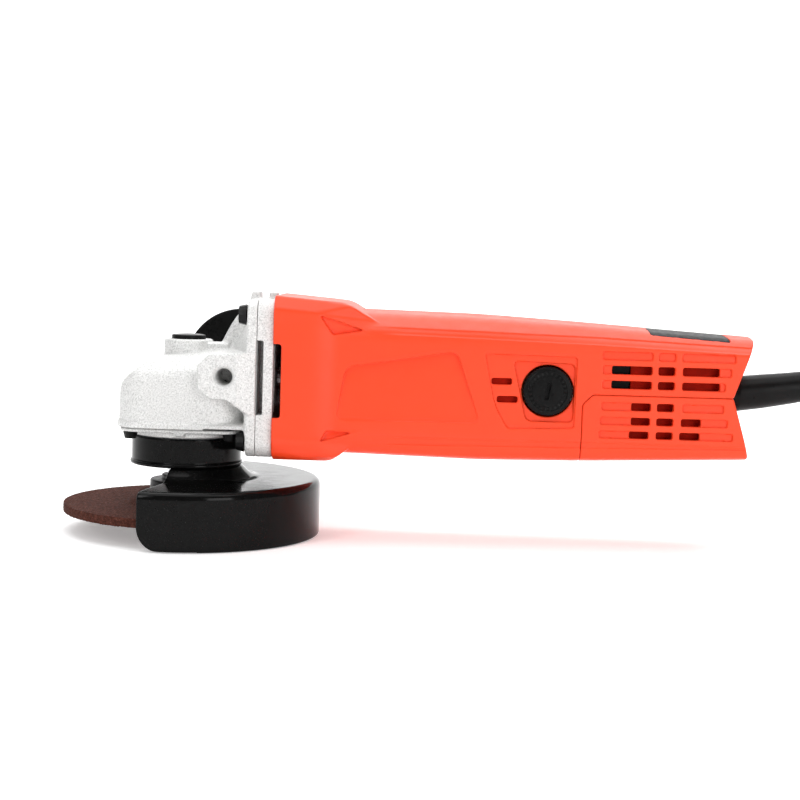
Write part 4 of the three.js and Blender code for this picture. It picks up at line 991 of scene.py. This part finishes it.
FIELDS = [
    (motor_housing, (37.7, -32.4, 27.2), (230, 32.4, 93.2), 0.5, 0.22, "red", "housing", "red_plastic"),
    (rear_cover, (160, -28.2, 30), (229, 28.2, 58.2), 0.45, 0.3, "red", "housing", "red_plastic"),
    (rating_label, (187, -18.7, 76), (220, 18.7, 84), 0.3, 0.4, "label", "housing", "dark_label"),
    (gear_housing, (-27.6, -31.6, 28), (31, 31.6, 94.4), 0.42, 0.35, "cast", "housing", "cast_aluminium"),
    (gear_housing_cover, (31, -29.6, 28), (37.6, 29.6, 94.2), 0.4, 0.4, "cast", "housing", "cast_aluminium"),
    (bearing_box, (-25.6, -25.6, 22.5), (25.6, 25.6, 38.2), 0.45, 0.4, "cast", "housing", "cast_aluminium"),
    (wheel_guard, (-24, -55.9, -5.9), (55.9, 55.9, 22.6), 0.45, 0.4, "gloss", "guard", "black_paint"),
    (guard_collar, (-24, -24, 22.5), (24, 32.5, 34.4), 0.35, 0.4, "gloss", "guard", "black_paint"),
    (grinding_disc, (-50, -50, 1.9), (50, 50, 10.6), 0.5, 0.7, "resin", "spindle", "abrasive_resin"),
    (inner_flange, (-14.9, -14.9, 7.5), (14.9, 14.9, 17.6), 0.3, 0.4, "dark", "spindle", "bright_steel"),
    (lock_button, (-7.1, -7.1, 65.9), (7.1, 7.1, 76.1), 0.25, 0.5, "black", "lock_button", "black_plastic"),
    (switch_knob, (77.8, 8.4, 67.8), (167.2, 35, 78.2), 0.4, 0.4, "black", "switch", "black_plastic"),
    (handle_grip, (-7, 31.7, 35.4), (43.4, 150.6, 85.6), 0.5, 0.4, "black", "housing", "black_plastic"),
    (cord_guard, (203, -9.1, 48.4), (261.4, 9.1, 68.8), 0.35, 0.4, "rubber", "housing", "black_rubber"),
    (mains_plug, (379, 76, -5.9), (404.8, 130.3, 8.5), 0.4, 0.4, "rubber", "housing", "black_rubber"),
]

for field, low, high, cell, keep, finish, rider, slot in FIELDS:
    node = field.__name__
    form(f"{node}_form", field, low, high, cell, keep, finish, rider, slot, node)

for name, y_from, y_to in (("left", 24.8, 28.4), ("right", -28.4, -24.8)):
    form(
        f"brush_cap_{name}_form", brush_cap, (136.2, y_from, 48.5), (156.4, y_to, 68.7), 0.22, 0.4,
        "black", "housing", "black_plastic", f"brush_cap_{name}",
    )

pins = form(
    "plug_pins", plug_pins, (381, 125, -1), (403, 148.2, 4), 0.3, 0.5, "brass", "housing", "brass",
)
# A black sheet put behind the slots as painted shade, where the inside is only in shadow.
form(
    "painted_shade_card", painted_shade_card, (168, -21, 38), (220.5, 21, 79), 0.5, 0.3, "black", "housing",
    "black_plastic",
)
# The inner wall and the slot backing take the darker red copy: painted shade inside the slots.
form(
    "inner_wall", inner_wall, (179, -21, 38), (217.5, 21, 75), 0.5, 0.3, "inner", "housing",
    "red_plastic",
)
form(
    "slot_backing", slot_backing, (122, -25.5, 52), (136.5, 25.5, 65), 0.4, 0.3, "inner", "housing",
    "red_plastic",
)
tie = form(
    "cable_tie", cable_tie, (299, 53, -5.8), (340, 98, 9.6), 0.4, 0.5, "black", "housing",
    "black_plastic",
)

# ---- CAD nodes that stay -----------------------------------------------------------------------------

# A name also stands for the nodes that begin with it: rear_bearing_sleeve is steel, fan_baffle is black.
KEPT = {
    "steel": (
        "lock_nut", "spindle", "guard_clamp_screw", "guard_clamp_nut", "spindle_bearing", "lock_spring",
        "armature_shaft", "front_bearing", "rear_bearing", "handle_stud",
    ),
    "dark": ("bevel_gear", "pinion", "bearing_box_screw", "flange_screw", "rear_cover_screw"),
    "brass": ("upper_spindle_bush", "brush_holder"),
    "rubber": ("dust_ring",),
    "black": ("fan", "power_switch"),
    "sheets": ("stator_core", "armature_core"),
    "copper": ("field_coil", "armature_winding", "commutator"),
    "carbon": ("carbon_brush",),
    "white": ("capacitor", "cord_clamp"),
}


def finish_for(node):
    for finish, names in KEPT.items():
        if any(node == name or node.startswith(name + "_") for name in names):
            return FINISH[finish].material
    return None


for name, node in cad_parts.items():
    material = finish_for(name)
    if material is not None:
        node.data.materials.clear()
        node.data.materials.append(material)

# ---- floor and light ---------------------------------------------------------------------------------


def make_stage():
    """A pale floor that sweeps up into a pale wall behind."""
    reach, wall_y, bend, steps = 3.0, 1.6, 0.7, 16
    level = FLOOR_Z * MM - 0.0002
    line = [(-reach, level), (wall_y - bend, level)]
    for i in range(1, steps + 1):
        angle = math.pi / 2 * i / steps
        line.append((wall_y - bend + bend * math.sin(angle), level + bend * (1 - math.cos(angle))))
    line.append((wall_y, reach))
    verts = [(x, y, z) for y, z in line for x in (-reach, reach)]
    faces = [(2 * i, 2 * i + 1, 2 * i + 3, 2 * i + 2) for i in range(len(line) - 1)]
    mesh = bpy.data.meshes.new("floor")
    mesh.from_pydata(verts, [], faces)
    mesh.polygons.foreach_set("use_smooth", [True] * len(faces))
    paper = Finish("floor_paper", (0.9, 0.9, 0.9), 0.9)
    paper.speckle(paper.noise(300, 2), 0.01)
    paper.shader.inputs["Emission Color"].default_value = (1, 1, 1, 1)
    paper.shader.inputs["Emission Strength"].default_value = 0.3
    mesh.materials.append(paper.material)
    floor = bpy.data.objects.new("floor", mesh)
    bpy.context.collection.objects.link(floor)


def area_light(name, place, target, size, power, color=(1, 1, 1)):
    data = bpy.data.lights.new(name, "AREA")
    data.shape = "RECTANGLE"
    data.size, data.size_y = size
    data.energy, data.color = power, color
    light = bpy.data.objects.new(name, data)
    light.location = place
    light.rotation_euler = (Vector(target) - Vector(place)).to_track_quat("-Z", "Y").to_euler()
    bpy.context.collection.objects.link(light)


def make_light():
    area_light("overhead", (0.1, -0.25, 1.1), (0.1, 0.0, 0), (1.2, 0.6), 6)
    area_light("front_left", (-0.7, -1.0, 0.8), (0.08, 0, 0.04), (0.3, 0.8), 5.5)
    area_light("front_right", (0.8, -1.1, 0.35), (0.12, 0, 0.05), (0.5, 0.6), 5)
    area_light("backdrop", (0.1, 0.7, 1.6), (0.1, 1.5, 0.3), (2.4, 0.8), 30)
    world = bpy.data.worlds.new("studio")
    world.use_nodes = True
    world.node_tree.nodes["Background"].inputs["Color"].default_value = (1, 1, 1, 1)
    world.node_tree.nodes["Background"].inputs["Strength"].default_value = 0.25
    bpy.context.scene.world = world
    bpy.context.scene.view_settings.view_transform = "Standard"


make_stage()
make_light()
